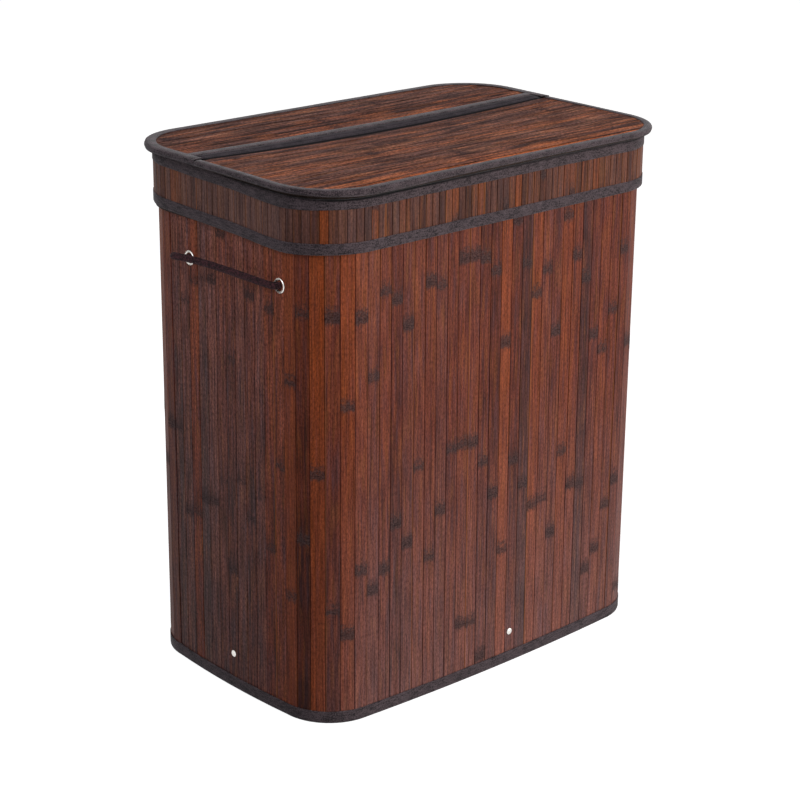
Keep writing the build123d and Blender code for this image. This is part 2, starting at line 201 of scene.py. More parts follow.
def lid_sag(x, y):
    """How far the lid's panels hang down along the fold, where only their ends are carried."""
    across = max(0.0, 1 - (x / (BODY_LENGTH / 2)) ** 2)
    if y > HINGE_Y:
        reach = max(0.0, (BODY_DEPTH / 2 - y) / (BODY_DEPTH / 2 - HINGE_Y))
        return sag_sizes().rear_sag * across * reach ** 1.5
    reach = max(0.0, (BODY_DEPTH / 2 + y) / (BODY_DEPTH / 2 + FLAP_REAR))
    return flap_lie(x, y) + sag_sizes().flap_sag * across * reach ** 2


def skirt_drop(x, y):
    """How far the skirt's upper edge stays below the flap, which rests on the body's rim."""
    near = math.exp(-((x + BODY_LENGTH / 2) ** 2 + (y + BODY_DEPTH / 2) ** 2) / 0.07)
    return progress(y, FLAP_REAR, -0.06) * (0.0036 + 0.0020 * near)


def shape_skirt(bm):
    """Bring the skirt's upper edge down below the flap, and its lower edge up at the rear left,
    where the lid has been pulled up, and down towards the near corner, where it hangs slack."""
    for vert in bm.verts:
        co = vert.co
        upper = progress(co.z, 0.580, 0.006)
        lower = 1 - progress(co.z, 0.5765, 0.012)
        rear = clamp(0.5 + co.y / BODY_DEPTH)
        left = clamp(0.5 - co.x / BODY_LENGTH)
        slack = 0.0028 * hump(co.y, -0.09, 0.045) * max(0.0, 1 - (1 - left) / 0.13)
        co.z += (0.0052 * rear ** 2.5 * left - slack) * lower - skirt_drop(co.x, co.y) * upper


def sag_sizes():
    return bpy.context.scene.hamper_tape


# ------------------------------------------------------------------ colours and shader nodes
def linear(text):
    """Linear colour of an sRGB hex value such as 6b3f2c."""
    parts = [int(text[i:i + 2], 16) / 255 for i in (0, 2, 4)]
    return (*(c / 12.92 if c <= 0.04045 else ((c + 0.055) / 1.055) ** 2.4 for c in parts), 1.0)


def tint(text):
    """Linear colour of a colour setting by its name, or else of an sRGB hex value."""
    chosen = getattr(bpy.context.scene.hamper_colours, text, None)
    return linear(text) if chosen is None else (*chosen, 1.0)


def add_node(tree, kind, links=None, **settings):
    """Add a shader node; links gives its inputs a value or another node's output."""
    made = tree.nodes.new(kind)
    for name, value in settings.items():
        setattr(made, name, value)
    for name, value in (links or {}).items():
        if isinstance(value, bpy.types.NodeSocket):
            tree.links.new(value, made.inputs[name])
        else:
            made.inputs[name].default_value = value
    return made


def stretched(tree, vector, scale):
    """Coordinates times a scale on each axis."""
    return add_node(tree, "ShaderNodeMapping", {"Vector": vector, "Scale": scale}).outputs[0]


def maths(tree, operation, *values):
    return add_node(tree, "ShaderNodeMath", dict(enumerate(values)),
                    operation=operation).outputs[0]


def map_range(tree, value, low, high, first, last):
    return add_node(tree, "ShaderNodeMapRange",
                    {0: value, 1: low, 2: high, 3: first, 4: last}).outputs[0]


def mix_colours(tree, kind, share, a, b):
    return add_node(tree, "ShaderNodeMix", {0: share, 6: a, 7: b}, data_type="RGBA",
                    blend_type=kind).outputs[2]


def cloud(tree, vector, scale, detail, rough=0.5, **settings):
    """Noise on these coordinates, from 0 to 1."""
    return add_node(tree, "ShaderNodeTexNoise", {
        "Vector": vector, "Scale": scale, "Detail": detail, "Roughness": rough},
        **settings).outputs[0]


def object_place(tree):
    return add_node(tree, "ShaderNodeTexCoord").outputs["Object"]


def colour_ramp(tree, value, *stops):
    """Colour of a value along a ramp, whose stops are (place, colour setting or hex value)."""
    ramp = add_node(tree, "ShaderNodeValToRGB", {0: value})
    elements = ramp.color_ramp.elements
    while len(elements) < len(stops):
        elements.new(1.0)
    for element, (place, colour) in zip(elements, stops):
        element.position = place
        element.color = tint(colour)
    return ramp.outputs[0]


def new_material(name, **values):
    """Material with a principled shader, whose named sockets take these values."""
    material = bpy.data.materials.new(name)
    material.use_nodes = True
    tree = material.node_tree
    shader = next(n for n in tree.nodes if n.type == "BSDF_PRINCIPLED")
    for socket, value in values.items():
        shader.inputs[socket.replace("_", " ")].default_value = value
    return material, tree, shader


def connect(tree, shader, height, strength, distance, **sockets):
    """Link these outputs to the shader's sockets, and a height to its normal as bump."""
    bump = add_node(tree, "ShaderNodeBump", {"Height": height, "Strength": strength,
                                             "Distance": distance})
    tree.links.new(bump.outputs[0], shader.inputs["Normal"])
    for socket, output in sockets.items():
        tree.links.new(output, shader.inputs[socket.replace("_", " ")])


def bamboo(name, dark, middle, bright, brown, plum, orange, contrast, gloss, coarse=1.0):
    """Split bamboo, stained and sealed with a fine coat of satin lacquer: fibres along the strip,
    drawn
    2 mm apart or coarser so that they show, a rough band where the culm had each joint, and a
    tone of its own on every strip."""
    material, tree, shader = new_material(name, Roughness=0.5, Specular_IOR_Level=gloss)
    times_plus, spread = partial(maths, tree, "MULTIPLY_ADD"), partial(map_range, tree)
    mix, multiply = partial(mix_colours, tree, "MIX"), partial(mix_colours, tree, "MULTIPLY", 1.0)
    slat = add_node(tree, "ShaderNodeAttribute", attribute_name="slat").outputs
    tone, glow, joint = add_node(tree, "ShaderNodeSeparateColor", {"Color": slat["Color"]}).outputs
    place = add_node(tree, "ShaderNodeUVMap", uv_map="slat_uv").outputs[0]

    def grain(across, length, detail, rough=0.55):
        """Noise about 0, whose grain is this wide and this long, in millimetres."""
        vector = stretched(tree, place, (1000 / across, 1000 / length, 1))
        made = cloud(tree, vector, 1.0, detail, rough, noise_dimensions="2D")
        return maths(tree, "SUBTRACT", made, 0.5)

    # the stain: its level runs along the main ramp, its hue shifts to brown, plum or orange
    fibre = grain(2.0 * coarse, 70, 3.0, 0.7)
    speck = grain(1.6 * coarse, 4.0, 2.0, 0.7)      # pores and flecks in the lacquer
    streak = grain(4.5 * coarse, 120, 2.0, 0.6)     # stain taken up unevenly along the strip
    hue = grain(4.5 * coarse, 60, 2.0)
    level = times_plus(streak, 0.75 * contrast, tone)
    level = times_plus(grain(14, 42, 2.0), 0.45 * contrast, level)
    look = colour_ramp(tree, level, (0.08, dark), (0.47, middle), (0.95, bright))
    look = mix(spread(hue, 0.02, 0.22, 0.0, 0.6), look, linear(brown))
    look = mix(spread(hue, -0.02, -0.22, 0.0, 0.5), look, linear(plum))
    look = mix(times_plus(streak, 0.9, glow), look, linear(orange))
    look = mix(spread(glow, 0.0, -1.0, 0.0, 1.0), look, linear("6a5654"))
    look = multiply(look, spread(tone, 0.0, 1.0, 0.78, 1.22))
    # towards the foot, painted light from the white floor on most walls, and painted shade on the
    # left wall there
    spot = add_node(tree, "ShaderNodeSeparateXYZ", {0: object_place(tree)}).outputs
    painted_foot_light_and_shade = mix(spread(spot[0], -0.25, -0.2, 0.0, 1.0), linear("120b0d"), linear("8b7574"))
    look = mix(spread(spot[2], 0.34, 0.0, 0.0, 0.22), look, painted_foot_light_and_shade)
    dim, lit = 1 - 0.42 * contrast, 1 + 0.42 * contrast
    look = multiply(look, spread(fibre, -0.22, 0.22, dim, lit))
    look = multiply(look, spread(speck, -0.25, 0.25, dim, lit))
    groove = spread(grain(2.6 * coarse, 240, 1.0), 0.15, 0.23, 0.0, 0.45)
    look = mix(groove, look, linear("23120e"))
    # painted highlight along one long edge of some strips
    look = mix(times_plus(slat["Alpha"], 0.7, 0.0), look, linear("a9683f"))
    # joints of the culm: a patch with a ragged outline, speckled, with a few ridges across
    band = spread(times_plus(grain(4.0, 4.5, 3.0, 0.7), 1.3, joint), 0.16, 0.62, 0.0, 0.82)
    pits = grain(2.3, 2.0, 3.0, 0.7)
    ridge = grain(8, 1.7, 2.0, 0.6)
    scar = mix(spread(pits, -0.16, 0.16, 0.0, 1.0), linear("1f191a"), linear("503f3e"))
    lip = spread(times_plus(ridge, 1.0, joint), 0.92, 1.05, 0.0, 0.6)
    look = mix(lip, mix(band, look, scar), linear("170f10"))
    satin = times_plus(band, 0.25, spread(fibre, -0.2, 0.2, 0.58, 0.46))
    height = times_plus(maths(tree, "MULTIPLY", band, ridge), 2.2, fibre)
    connect(tree, shader, height, 0.6, 0.0003, Base_Color=look, Roughness=satin)
    return material


def non_woven(name, base, light, fibre=0.75, rough=0.7, fuzz=0.22):
    """Spun-bonded polypropylene tape or cloth: matt and fuzzy. Its fibres are bonded in flecks
    of half a millimetre, drawn twice as coarse so that they show."""
    material, tree, shader = new_material(
        name, Roughness=0.9, Specular_IOR_Level=0.08, Sheen_Weight=fuzz, Sheen_Roughness=0.45)
    place = object_place(tree)
    fleck = cloud(tree, place, 1000 / fibre / 2, 2.0, 0.8)
    thread = cloud(tree, stretched(tree, place, (110, 110, 620)), 1.0, 2.0)
    height = maths(tree, "MULTIPLY_ADD", cloud(tree, place, 60.0, 2.0), 0.25, fleck)
    height = maths(tree, "MULTIPLY_ADD", thread, 0.45, height)
    # the fold attribute carries painted shade, nearly black, into creases and gaps
    fold = add_node(tree, "ShaderNodeAttribute", attribute_name="fold").outputs["Fac"]
    look = colour_ramp(tree, height, (0.70, base), (0.97, light))
    connect(tree, shader, height, rough, 0.0004,
            Base_Color=mix_colours(tree, "MIX", fold, look, linear("0c0a0c")))
    return material


def braided_rope(name, base, light):
    """Braided polyester cord: twisted yarns a third of a millimetre thick, slightly fuzzy."""
    material, tree, shader = new_material(
        name, Roughness=0.8, Specular_IOR_Level=0.15, Sheen_Weight=0.05, Sheen_Roughness=0.5)
    yarn = cloud(tree, object_place(tree), 430.0, 3.0, 0.7)
    connect(tree, shader, yarn, 0.4, 0.0002,
            Base_Color=colour_ramp(tree, yarn, (0.42, base), (0.62, light)))
    return material


def plated_metal(name, colour, rough, wear):
    """Plated sheet metal: bright, with faint scratches and duller patches from handling."""
    material, tree, shader = new_material(name, Metallic=1.0, Base_Color=tint(colour))
    place = object_place(tree)
    scratch = cloud(tree, stretched(tree, place, (900, 900, 5200)), 1.0, 3.0)
    both = maths(tree, "MULTIPLY", cloud(tree, place, 240.0, 2.0), scratch)
    connect(tree, shader, scratch, 0.12, 0.0001,
            Roughness=map_range(tree, both, 0.1, 0.45, rough, rough + wear))
    return material


def hardboard(name, base, dark):
    """Pressed wood fibre board: mottled brown, with flecks about two millimetres long."""
    material, tree, shader = new_material(name, Roughness=0.72, Specular_IOR_Level=0.35)
    fleck = cloud(tree, stretched(tree, object_place(tree), (500, 900, 900)), 1.0, 4.0, 0.7)
    connect(tree, shader, fleck, 0.3, 0.0002,
            Base_Color=colour_ramp(tree, fleck, (0.35, dark), (0.65, base)))
    return material


# Maker and values of each finish. Words among the colours are colour settings. Bamboo takes its
# dark, middle and bright stain, then brown, plum and orange, contrast, gloss and coarseness.
LOOKS = {
    "wall_bamboo": (bamboo, "stained_bamboo_wall", "371b19", "wall_stain", "7c4532", "754226",
                    "57393a", "803a19", 1.0, 0.06),
    "side_bamboo": (bamboo, "stained_bamboo_side", "331c1b", "side_stain", "7f4636", "774427",
                    "513b40", "803a19", 1.5, 0.06, 1.15),
    "skirt_bamboo": (bamboo, "stained_bamboo_skirt", "331f1c", "skirt_stain", "6f4a3b", "6b432a",
                     "513b3a", "843f1a", 0.85, 0.06),
    "lid_bamboo": (bamboo, "stained_bamboo_lid", "2b1714", "lid_stain", "7d543f", "82492b",
                   "4c332f", "b0531c", 1.75, 0.01, 2.1),
    "edge_tape": (non_woven, "non_woven_edge_tape", "tape", "tape_fleck", 0.62),
    "hinge_cloth": (non_woven, "non_woven_hinge_cloth", "hinge", "3c3439", 0.6, 0.3, 0.04),
    "lining_cloth": (non_woven, "non_woven_lining", "lining", "40342f"),
    "rope": (braided_rope, "braided_polyester", "rope", "rope_highlight"),
    "nickel": (plated_metal, "nickel_plated_brass", "fittings", 0.16, 0.2),
    "zinc_steel": (plated_metal, "zinc_plated_steel", "a9adb0", 0.34, 0.2),
    "hardboard": (hardboard, "hardboard_panel", "board", "4f3727"),
}


FINISHES = {}


def finish(name):
    """The object's finishes, made once each and shared by every piece that has them."""
    if name not in FINISHES:
        maker, *values = LOOKS[name]
        FINISHES[name] = maker(*values)
    return FINISHES[name]


# ------------------------------------------------------------------ mesh helpers
def mesh_of(bm, name="strip"):
    mesh = bpy.data.meshes.new(name)
    bm.to_mesh(mesh)
    bm.free()
    return mesh


def place_object(name, data):
    made = bpy.data.objects.new(name, data)
    bpy.context.scene.collection.objects.link(made)
    return made


def dressed(name, mesh, finish_name, node, smooth=True):
    """Turn a mesh into a piece with a finish, which stands for a CAD node."""
    if not mesh.polygons:
        raise RuntimeError(f"{name} has no faces")
    if smooth:
        mesh.shade_smooth()
    mesh.name = name
    mesh.materials.clear()
    mesh.materials.append(finish(finish_name))
    piece = place_object(name, mesh)
    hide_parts(node)
    return piece


def new_piece(name, bm, finish_name, body, node, smooth=False):
    """Turn a bmesh into a piece that rides on a body."""
    bmesh.ops.recalc_face_normals(bm, faces=bm.faces[:])
    piece = dressed(name, mesh_of(bm, name), finish_name, node, smooth)
    if body:
        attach(piece, body)
    return piece


def new_tape(name, bm, body, edge=0.00025):
    """Edge tape with softened edges, which stands for the binding of the same name."""
    tape = new_piece(f"tape_{name}", bm, "edge_tape", body, f"{name}_binding", True)
    bevel = tape.modifiers.new("soft_edges", "BEVEL")
    bevel.width = edge
    bevel.segments = 2
    bevel.limit_method = "ANGLE"
    bevel.angle_limit = radians(35)


def extrude(bm, faces, way):
    """Give faces a depth, by copies of them moved by a vector."""
    grown = bmesh.ops.extrude_face_region(bm, geom=faces)["geom"]
    bmesh.ops.translate(bm, verts=[g for g in grown if isinstance(g, bmesh.types.BMVert)], vec=way)


def plan_face(bm, offset, height):
    """The hamper's rounded outline, grown by offset, as one face."""
    half_x, half_y = BODY_LENGTH / 2 + offset, BODY_DEPTH / 2 + offset
    matrix = Matrix.Translation((0, 0, height)) @ Matrix.Diagonal((half_x, half_y, 1, 1))
    corners = bmesh.ops.create_grid(bm, x_segments=1, y_segments=1, size=1, matrix=matrix)["verts"]
    bmesh.ops.bevel(bm, geom=corners, offset=CORNER_RADIUS + offset, offset_type="OFFSET",
                    segments=CORNER_STEPS, profile=0.5, affect="VERTICES", material=-1)


def cut_across(bm, point, normal, clear=False):
    """Cut all of a bmesh by a plane; clear takes away what lies past it."""
    geometry = bm.verts[:] + bm.edges[:] + bm.faces[:]
    return bmesh.ops.bisect_plane(bm, geom=geometry, dist=1e-7, plane_co=point, plane_no=normal,
                                  clear_outer=clear)


def cut_rows(bm, axis, places):
    """Cut a bmesh square to an axis at each of these places along it."""
    for place in places:
        cut_across(bm, Vector(axis) * place, axis)


def lid_slab(low, high, top, thickness):
    """Slab of the lid's rounded outline, from one place to another along y."""
    bm = bmesh.new()
    plan_face(bm, LID_EDGE, top)
    cut_across(bm, (0, high, 0), Y, clear=True)
    cut_across(bm, (0, low, 0), (0, -1, 0), clear=True)
    extrude(bm, bm.faces[:], (0, 0, -thickness))
    return bm


def swept_profile(profile, cuts_x=16, cuts_y=8):
    """Closed profile of (out, height) points carried all round the hamper's outline."""
    bm = bmesh.new()
    plan_face(bm, *profile[0])
    bmesh.ops.delete(bm, geom=bm.faces[:], context="FACES_ONLY")
    for axis, run, cuts in ((X, half_run(FRONT), cuts_x), (Y, half_run(RIGHT), cuts_y)):
        cut_rows(bm, axis, [run * (2 * number / cuts - 1) for number in range(1, cuts)])
    first = loop = bm.edges[:]
    for (out, height), (next_out, next_height) in zip(profile, profile[1:]):
        grown = bmesh.ops.extrude_edge_only(bm, edges=loop)["geom"]
        loop = [g for g in grown if isinstance(g, bmesh.types.BMEdge)]
        for vert in (g for g in grown if isinstance(g, bmesh.types.BMVert)):
            vert.co += (plan_normal(vert.co) * (next_out - out)
                        + Vector((0, 0, next_height - height)))
    bmesh.ops.bridge_loops(bm, edges=first + loop)
    return bm


def folded_tape(outer, inner, edge, opening, thickness=TAPE, corner=0.0012):
    """Profile of a tape folded over an edge, with a rounded fold, open towards `opening`."""
    way = 1 if edge > opening else -1
    rise, hidden = edge - way * corner, edge - way * thickness
    return [(outer, opening), *arc((outer - corner, rise), corner, way * corner, (0, 30, 60, 90)),
            *arc((inner + corner, rise), -corner, way * corner, (90, 60, 30, 0)),
            (inner, opening), (inner + thickness, opening), (inner + thickness, hidden),
            (outer - thickness, hidden), (outer - thickness, opening)]


def ripple(co, seed, size=0.03):
    """Smooth seeded wobble from -1 to 1 at a point."""
    return noise.noise(Vector((co.x, co.y, co.z)) / size + Vector((seed, 0, 0)))


def wave(bm, height, amount, seed, size=0.03):
    """Let the points that lie at a height run unevenly up and down."""
    for vert in bm.verts:
        if abs(vert.co.z - height) < 2 * MM:
            vert.co.z += amount * ripple(vert.co, seed, size)


def bow_verts(bm):
    """Move a straight ring out with the bowed walls."""
    for vert in bm.verts:
        normal = plan_normal(vert.co)
        side = (round(math.atan2(normal.y, normal.x) / (pi / 2))) % 4
        if abs(normal.x) > 1e-4 and abs(normal.y) > 1e-4:
            continue
        share = clamp(vert.co.dot(along(side)) / half_run(side), -1.0)
        vert.co += normal * bow_at(side, max(0.0, vert.co.z)) * (1 - share ** 2)


# ------------------------------------------------------------------ user settings
def colour_setting(name, description, value):
    return FloatVectorProperty(name=name, description=description, subtype="COLOR", size=3,
                               min=0, max=1, default=linear(value)[:3])


def length_setting(name, description, default, most, least=0):
    return FloatProperty(name=name, description=description, default=default, min=least,
                         max=most, unit="LENGTH")


def power_setting(name, description, default):
    return FloatProperty(name=name, description=description, default=default, min=0, max=1000,
                         subtype="POWER")


class HamperColourSettings(bpy.types.PropertyGroup):
    """Main colours of the finishes."""
    wall_stain: colour_setting("Wall stain", "Stain of the front and rear walls", "623127")
    side_stain: colour_setting("Side stain", "Stain of the left and right walls", "613229")
    skirt_stain: colour_setting("Skirt stain", "Stain of the skirt's strips", "57362d")
    lid_stain: colour_setting("Lid stain", "Stain of the strips on top of the lid", "5f3c33")
    tape: colour_setting("Tape", "Ground colour of the edge tapes", "1d181a")
    tape_fleck: colour_setting("Tape fleck", "Colour of the flecks in the tapes", "594c4f")
    hinge: colour_setting("Hinge cloth", "Ground colour of the hinge cloth", "1e1a1e")
    lining: colour_setting("Lining", "Ground colour of the linings", "2a2120")
    rope: colour_setting("Rope", "Ground colour of the rope handles", "170a0d")
    rope_highlight: colour_setting("Rope highlight", "Colour of the raised yarns", "4f2d32")
    fittings: colour_setting("Fittings", "Colour of the eyelets and rivets", "d9d5cf")
    board: colour_setting("Boards", "Colour of the boards in the lid and base", "6e4f38")


class HamperSlatSettings(bpy.types.PropertyGroup):
    """Sizes of the bamboo strips."""
    gap: length_setting("Gap", "Space between neighbouring strips", 0.0006, 0.003)
    edge: length_setting("Edge radius", "Rounding of a strip's long front edges", 0.00035, 0.001)
    tilt: FloatProperty(name="Tilt", description="How far a strip may lean to either side",
                        default=radians(0.9), min=0, max=0.1, subtype="ANGLE")
    lift: length_setting("Lift", "How far a strip may stand proud or set back", 0.00014, 0.001)
    joint_band: length_setting("Joint band", "Height of the dark band at a joint", 0.027, 0.04,
                               0.002)
    joint_swell: length_setting("Joint swelling", "Rise of a strip at a joint", 0.00022, 0.001)
    internode: length_setting("Joint spacing", "Usual distance between joints", 0.30, 0.6, 0.05)
    seed: IntProperty(name="Seed", description="Start of the random draws", default=7, min=0)


class HamperTapeSettings(bpy.types.PropertyGroup):
    """Sizes of the edge tapes and of the sag in the lid."""
    wobble: length_setting("Wobble", "Unevenness of a tape's free edges", 0.00045, 0.003)
    flap_sag: length_setting("Flap sag", "Sag of the flap at its folding edge", 0.0056, 0.01)
    rear_sag: length_setting("Panel sag", "Sag of the rear panel at its front edge", 0.0034, 0.01)
    flap_drop: length_setting("Flap drop", "How far the flap lies below the panel", 0.0008, 0.001)
    corner_drop: length_setting("Corner drop", "Droop of the flap's free corners", 0.0008, 0.002)


class HamperRopeSettings(bpy.types.PropertyGroup):
    """Braid of the rope handles."""
    strands: IntProperty(name="Strands", description="Strands that run each way round the rope",
                         default=8, min=3, max=12)
    lay_length: length_setting("Lay length", "Length of one turn of a strand", 0.018, 0.06, 0.005)


class HamperStageSettings(bpy.types.PropertyGroup):
    """Camera and light."""
    lens: FloatProperty(name="Lens", description="Focal length", default=96.06, min=10, max=300,
                        subtype="DISTANCE_CAMERA")
    key: power_setting("Key lamp", "Power of the lamp at the front right", 95)
    fill: power_setting("Fill lamp", "Power of the lamp at the left", 11.5)
    top: power_setting("Top lamp", "Power of the lamp overhead", 17)
    room: FloatProperty(name="Room light", description="Strength of the even light all round",
                        default=0.26, min=0, max=2)


def round_edges(bm, edges):
    """Round the long front edges of a strip."""
    if edges:
        bmesh.ops.bevel(bm, geom=edges, offset=bpy.context.scene.hamper_slats.edge,
                        offset_type="OFFSET", segments=2, profile=0.5, affect="EDGES",
                        material=-1)


# ------------------------------------------------------------------ bamboo strips
def joint_heights(draw, foot, head, near=None):
    """Heights of a strip's joints, either its own or close to its neighbour's."""
    settings = bpy.context.scene.hamper_slats
    if near and draw.random() < 0.42:
        shift = draw.uniform(-0.012, 0.012)
        return [h + shift for h in near if foot < h + shift < head]
    spacing = settings.internode * draw.uniform(0.8, 1.25)
    first = foot + draw.uniform(0.02, 1.0) * spacing
    count = int(max(0, (head - 0.006 - first) // spacing + 1))
    return [first + spacing * n + draw.uniform(-0.01, 0.01) for n in range(count)]


def build_strip(course, width, joints):
    """One strip on end: x across, its outer face at y = 0, with rows of points at each joint."""
    bm = bmesh.new()
    size = Matrix.Diagonal((width, course.thickness, course.head - course.foot, 1))
    middle = Matrix.Translation((0, -course.thickness / 2, (course.foot + course.head) / 2))
    bmesh.ops.create_cube(bm, size=1, matrix=middle @ size)
    round_edges(bm, [e for e in bm.edges if abs(e.verts[0].co.z - e.verts[1].co.z) > 1e-5
                     and e.verts[0].co.y > -1e-6])
    cut_rows(bm, X, [edge * (width / 2 - EDGE_ROW) for edge in (-1, 1)])
    rows = [joint + row for joint in joints for row in joint_rows()]
    cut_rows(bm, Z, [row for row in rows if course.foot < row < course.head])
    return bm


def lay_grain(bm, draw, place):
    """Give a strip its colour layer, and grain coordinates from a random start: across, along."""
    colour = bm.verts.layers.float_color.new("slat")
    uv = bm.loops.layers.uv.new("slat_uv")
    shift = Vector((draw.uniform(0, 9), draw.uniform(0, 9)))
    for face in bm.faces:
        for loop in face.loops:
            loop[uv].uv = shift + Vector(place(loop.vert.co))
    return colour


def joint_rows():
    """Start, crest and end of a joint's band, measured from the crest."""
    band = bpy.context.scene.hamper_slats.joint_band
    return -0.3 * band, 0.0, 0.7 * band


def joint_share(place, joints, marks):
    """How much of a joint there is at a place along a strip; marks are the joints' crests."""
    low, _, high = joint_rows()
    past = [(place - joint, mark) for joint, mark in zip(joints, marks)]
    return max([0.0] + [mark * (1 - p / (high if p > 0 else low)) for p, mark in past])


def dress_strip(bm, course, side, joints, tone, glow, draw, seat):
    """Give a strip its joints, its tone and its place in the pattern, then set it in its seat.
    A painted highlight brightens the strips high up on the left and at the near corner, as much as
    their course gives for each side."""
    settings = bpy.context.scene.hamper_slats
    colour = lay_grain(bm, draw, lambda co: (co.x + co.y, co.z))
    # some strips get a painted highlight along one long edge, carried in the colour layer's alpha
    reach = max(v.co.x for v in bm.verts) - HIGHLIGHT_EDGE
    highlight_side = draw.choice((-1, -1, 1))
    edge_highlight = max(0.0, draw.uniform(-1.2, 1.0))
    marks = [draw.uniform(*course.strength[side]) for _ in joints]
    tilt = draw.uniform(-settings.tilt, settings.tilt)
    lift = draw.uniform(-settings.lift, settings.lift)
    for vert in bm.verts:
        co = vert.co
        joint = joint_share(co.z, joints, marks)
        on_edge = co.x * highlight_side > reach
        swell = settings.joint_swell * joint if co.y > -course.thickness / 2 else 0.0
        x = co.x * (1 + 0.012 * joint)
        y = co.y + swell + lift
        vert.co = seat(x * cos(tilt) - y * sin(tilt), x * sin(tilt) + y * cos(tilt), co.z)
        # painted light: strips are brightened high up on the left and at the near corner, where
        # more light falls
        upper_light = course.worn[side] * (progress(vert.co.x, -0.06, -0.14)
                                    * progress(vert.co.z, 0.34, 0.18))
        vert[colour] = (tone + upper_light, glow + 0.3 * upper_light, joint, edge_highlight if on_edge else 0.0)


def add_to(whole, bm):
    """Append a strip to the mesh of all strips of its wall."""
    mesh = mesh_of(bm)
    whole.from_mesh(mesh)
    bpy.data.meshes.remove(mesh)


def strip_tone(draw, grey=0.0):
    """Tone and hue of a strip: most are reddish brown, some dark, a few orange; the hue runs
    from orange at 1 to grey at -1."""
    pick = draw.random()
    if pick < 0.12:
        return draw.uniform(0.22, 0.34), -grey
    if pick > 0.94:
        return draw.uniform(0.52, 0.66), draw.uniform(0.1, 0.4) - grey / 2
    return draw.gauss(0.47, 0.06), draw.uniform(-0.08, 0.08) - grey


# Strips that stand out from their neighbours, by side and number: tone and orange glow
ACCENTS = {
    (LEFT, 0): (0.26, -0.3), (LEFT, 2): (0.54, 0.15), (LEFT, 3): (0.24, -0.4),
    (LEFT, 6): (0.34, -0.2), (LEFT, 8): (0.36, -0.2), (LEFT, 10): (0.50, 0.05),
    (LEFT, 11): (0.6, 0.16),
    (FRONT, 10): (0.40, 0.0), (FRONT, 11): (0.34, 0.0), (FRONT, 12): (0.70, 0.42),
    (FRONT, 14): (0.22, -0.1), (FRONT, 15): (0.62, 0.3), (FRONT, 18): (0.60, 0.3),
    (FRONT, 19): (0.55, 0.12), (FRONT, 20): (0.22, -0.1), (FRONT, 22): (0.57, 0.15),
}
CORNER_ACCENTS = {(LEFT, 0): (0.6, 0.34), (LEFT, 1): (0.2, 0.12), (LEFT, 2): (0.62, 0.66),
                  (LEFT, 3): (0.36, 0.05), (LEFT, 4): (0.52, 0.45), (LEFT, 5): (0.48, 0.1)}
SKIRT_ACCENTS = {
    (FRONT, 0): (0.5, 0.3), (FRONT, 2): (0.28, 0.1), (FRONT, 3): (0.40, -0.2),
    (FRONT, 4): (0.52, 0.15), (FRONT, 7): (0.26, 0.0), (FRONT, 10): (0.28, 0.0),
    (FRONT, 12): (0.50, 0.4), (FRONT, 14): (0.24, 0.0), (FRONT, 16): (0.55, 0.4),
    (FRONT, 21): (0.52, 0.15), (FRONT, 22): (0.70, 0.55), (FRONT, 23): (0.28, 0.0),
    (FRONT, 31): (0.60, 0.35), (FRONT, 33): (0.55, 0.2), (FRONT, 35): (0.55, 0.35),
}
SKIRT_CORNER_ACCENTS = {(LEFT, 5): (0.47, 0.72), (LEFT, 4): (0.3, 0.0), (LEFT, 6): (0.5, 0.0)}
# Heights of the joints on the strips of the two walls beside the near corner, in millimetres
WALL_JOINTS = {
    FRONT: ((390, 148), (480, 168), (468, 217), (437, 190), (275,), (478, 165), (472, 216),
            (283,), (495, 285, 70), (495, 283, 68), (490, 257, 20), (472, 215), (388, 143),
            (523, 247), (472, 215), (435, 185), (460, 188), (385, 142), (515, 238), (467, 193),
            (438, 190), (368, 77), (347, 98), (392, 150)),
    LEFT: ((283,), (435, 187), (460, 192), (466, 212), (468, 214), (522, 243), (387, 143),
           (253,), (465, 213), (245,), (458, 188), (288,)),
}
CORNER_JOINTS = {LEFT: ((386, 143), (463, 212), (288,), (460, 132), (363, 103), (457, 175)),
                 FRONT: ((460, 178),), REAR: (None, None, None, None, None, (283,))}


class Course(NamedTuple):
    """Upright strips of one kind. Accents and joints are those of single strips, by side and
    number; the other tuples have a value for each side."""
    pitch: float
    foot: float
    head: float
    offset: float           # out from the walls
    thickness: float
    accents: dict
    joints: dict
    grey: tuple
    # painted light: a rise in tone over a whole side, where more light falls on it
    lighter: tuple
    # painted highlight high up on the left and at the near corner, for each side
    worn: tuple
    strength: tuple         # how strongly the joints show
    corners: bool = False


WALLS = Course(
    pitch=SLAT_PITCH, foot=SLAT_FOOT, head=RIM_TOP - TAPE - END_PLAY, offset=0,
    thickness=SLAT_THICKNESS, accents=ACCENTS, joints=WALL_JOINTS, grey=(0.1, 0.1, 0.3, 0.0),
    lighter=(0.0, 0.0, 0.0, 0.0), worn=(0.24, 0.24, 0.42, 0.24),
    strength=((0.65, 1.0), (0.65, 1.0), (0.35, 0.9), (0.65, 1.0)))
WALL_CORNERS = WALLS._replace(
    accents=CORNER_ACCENTS, joints=CORNER_JOINTS, grey=(0.05, 0.05, 0.15, 0.0),
    worn=(0.4, 0.4, 0.4, 0.4), strength=((0.6, 1.0),) * 4, corners=True)
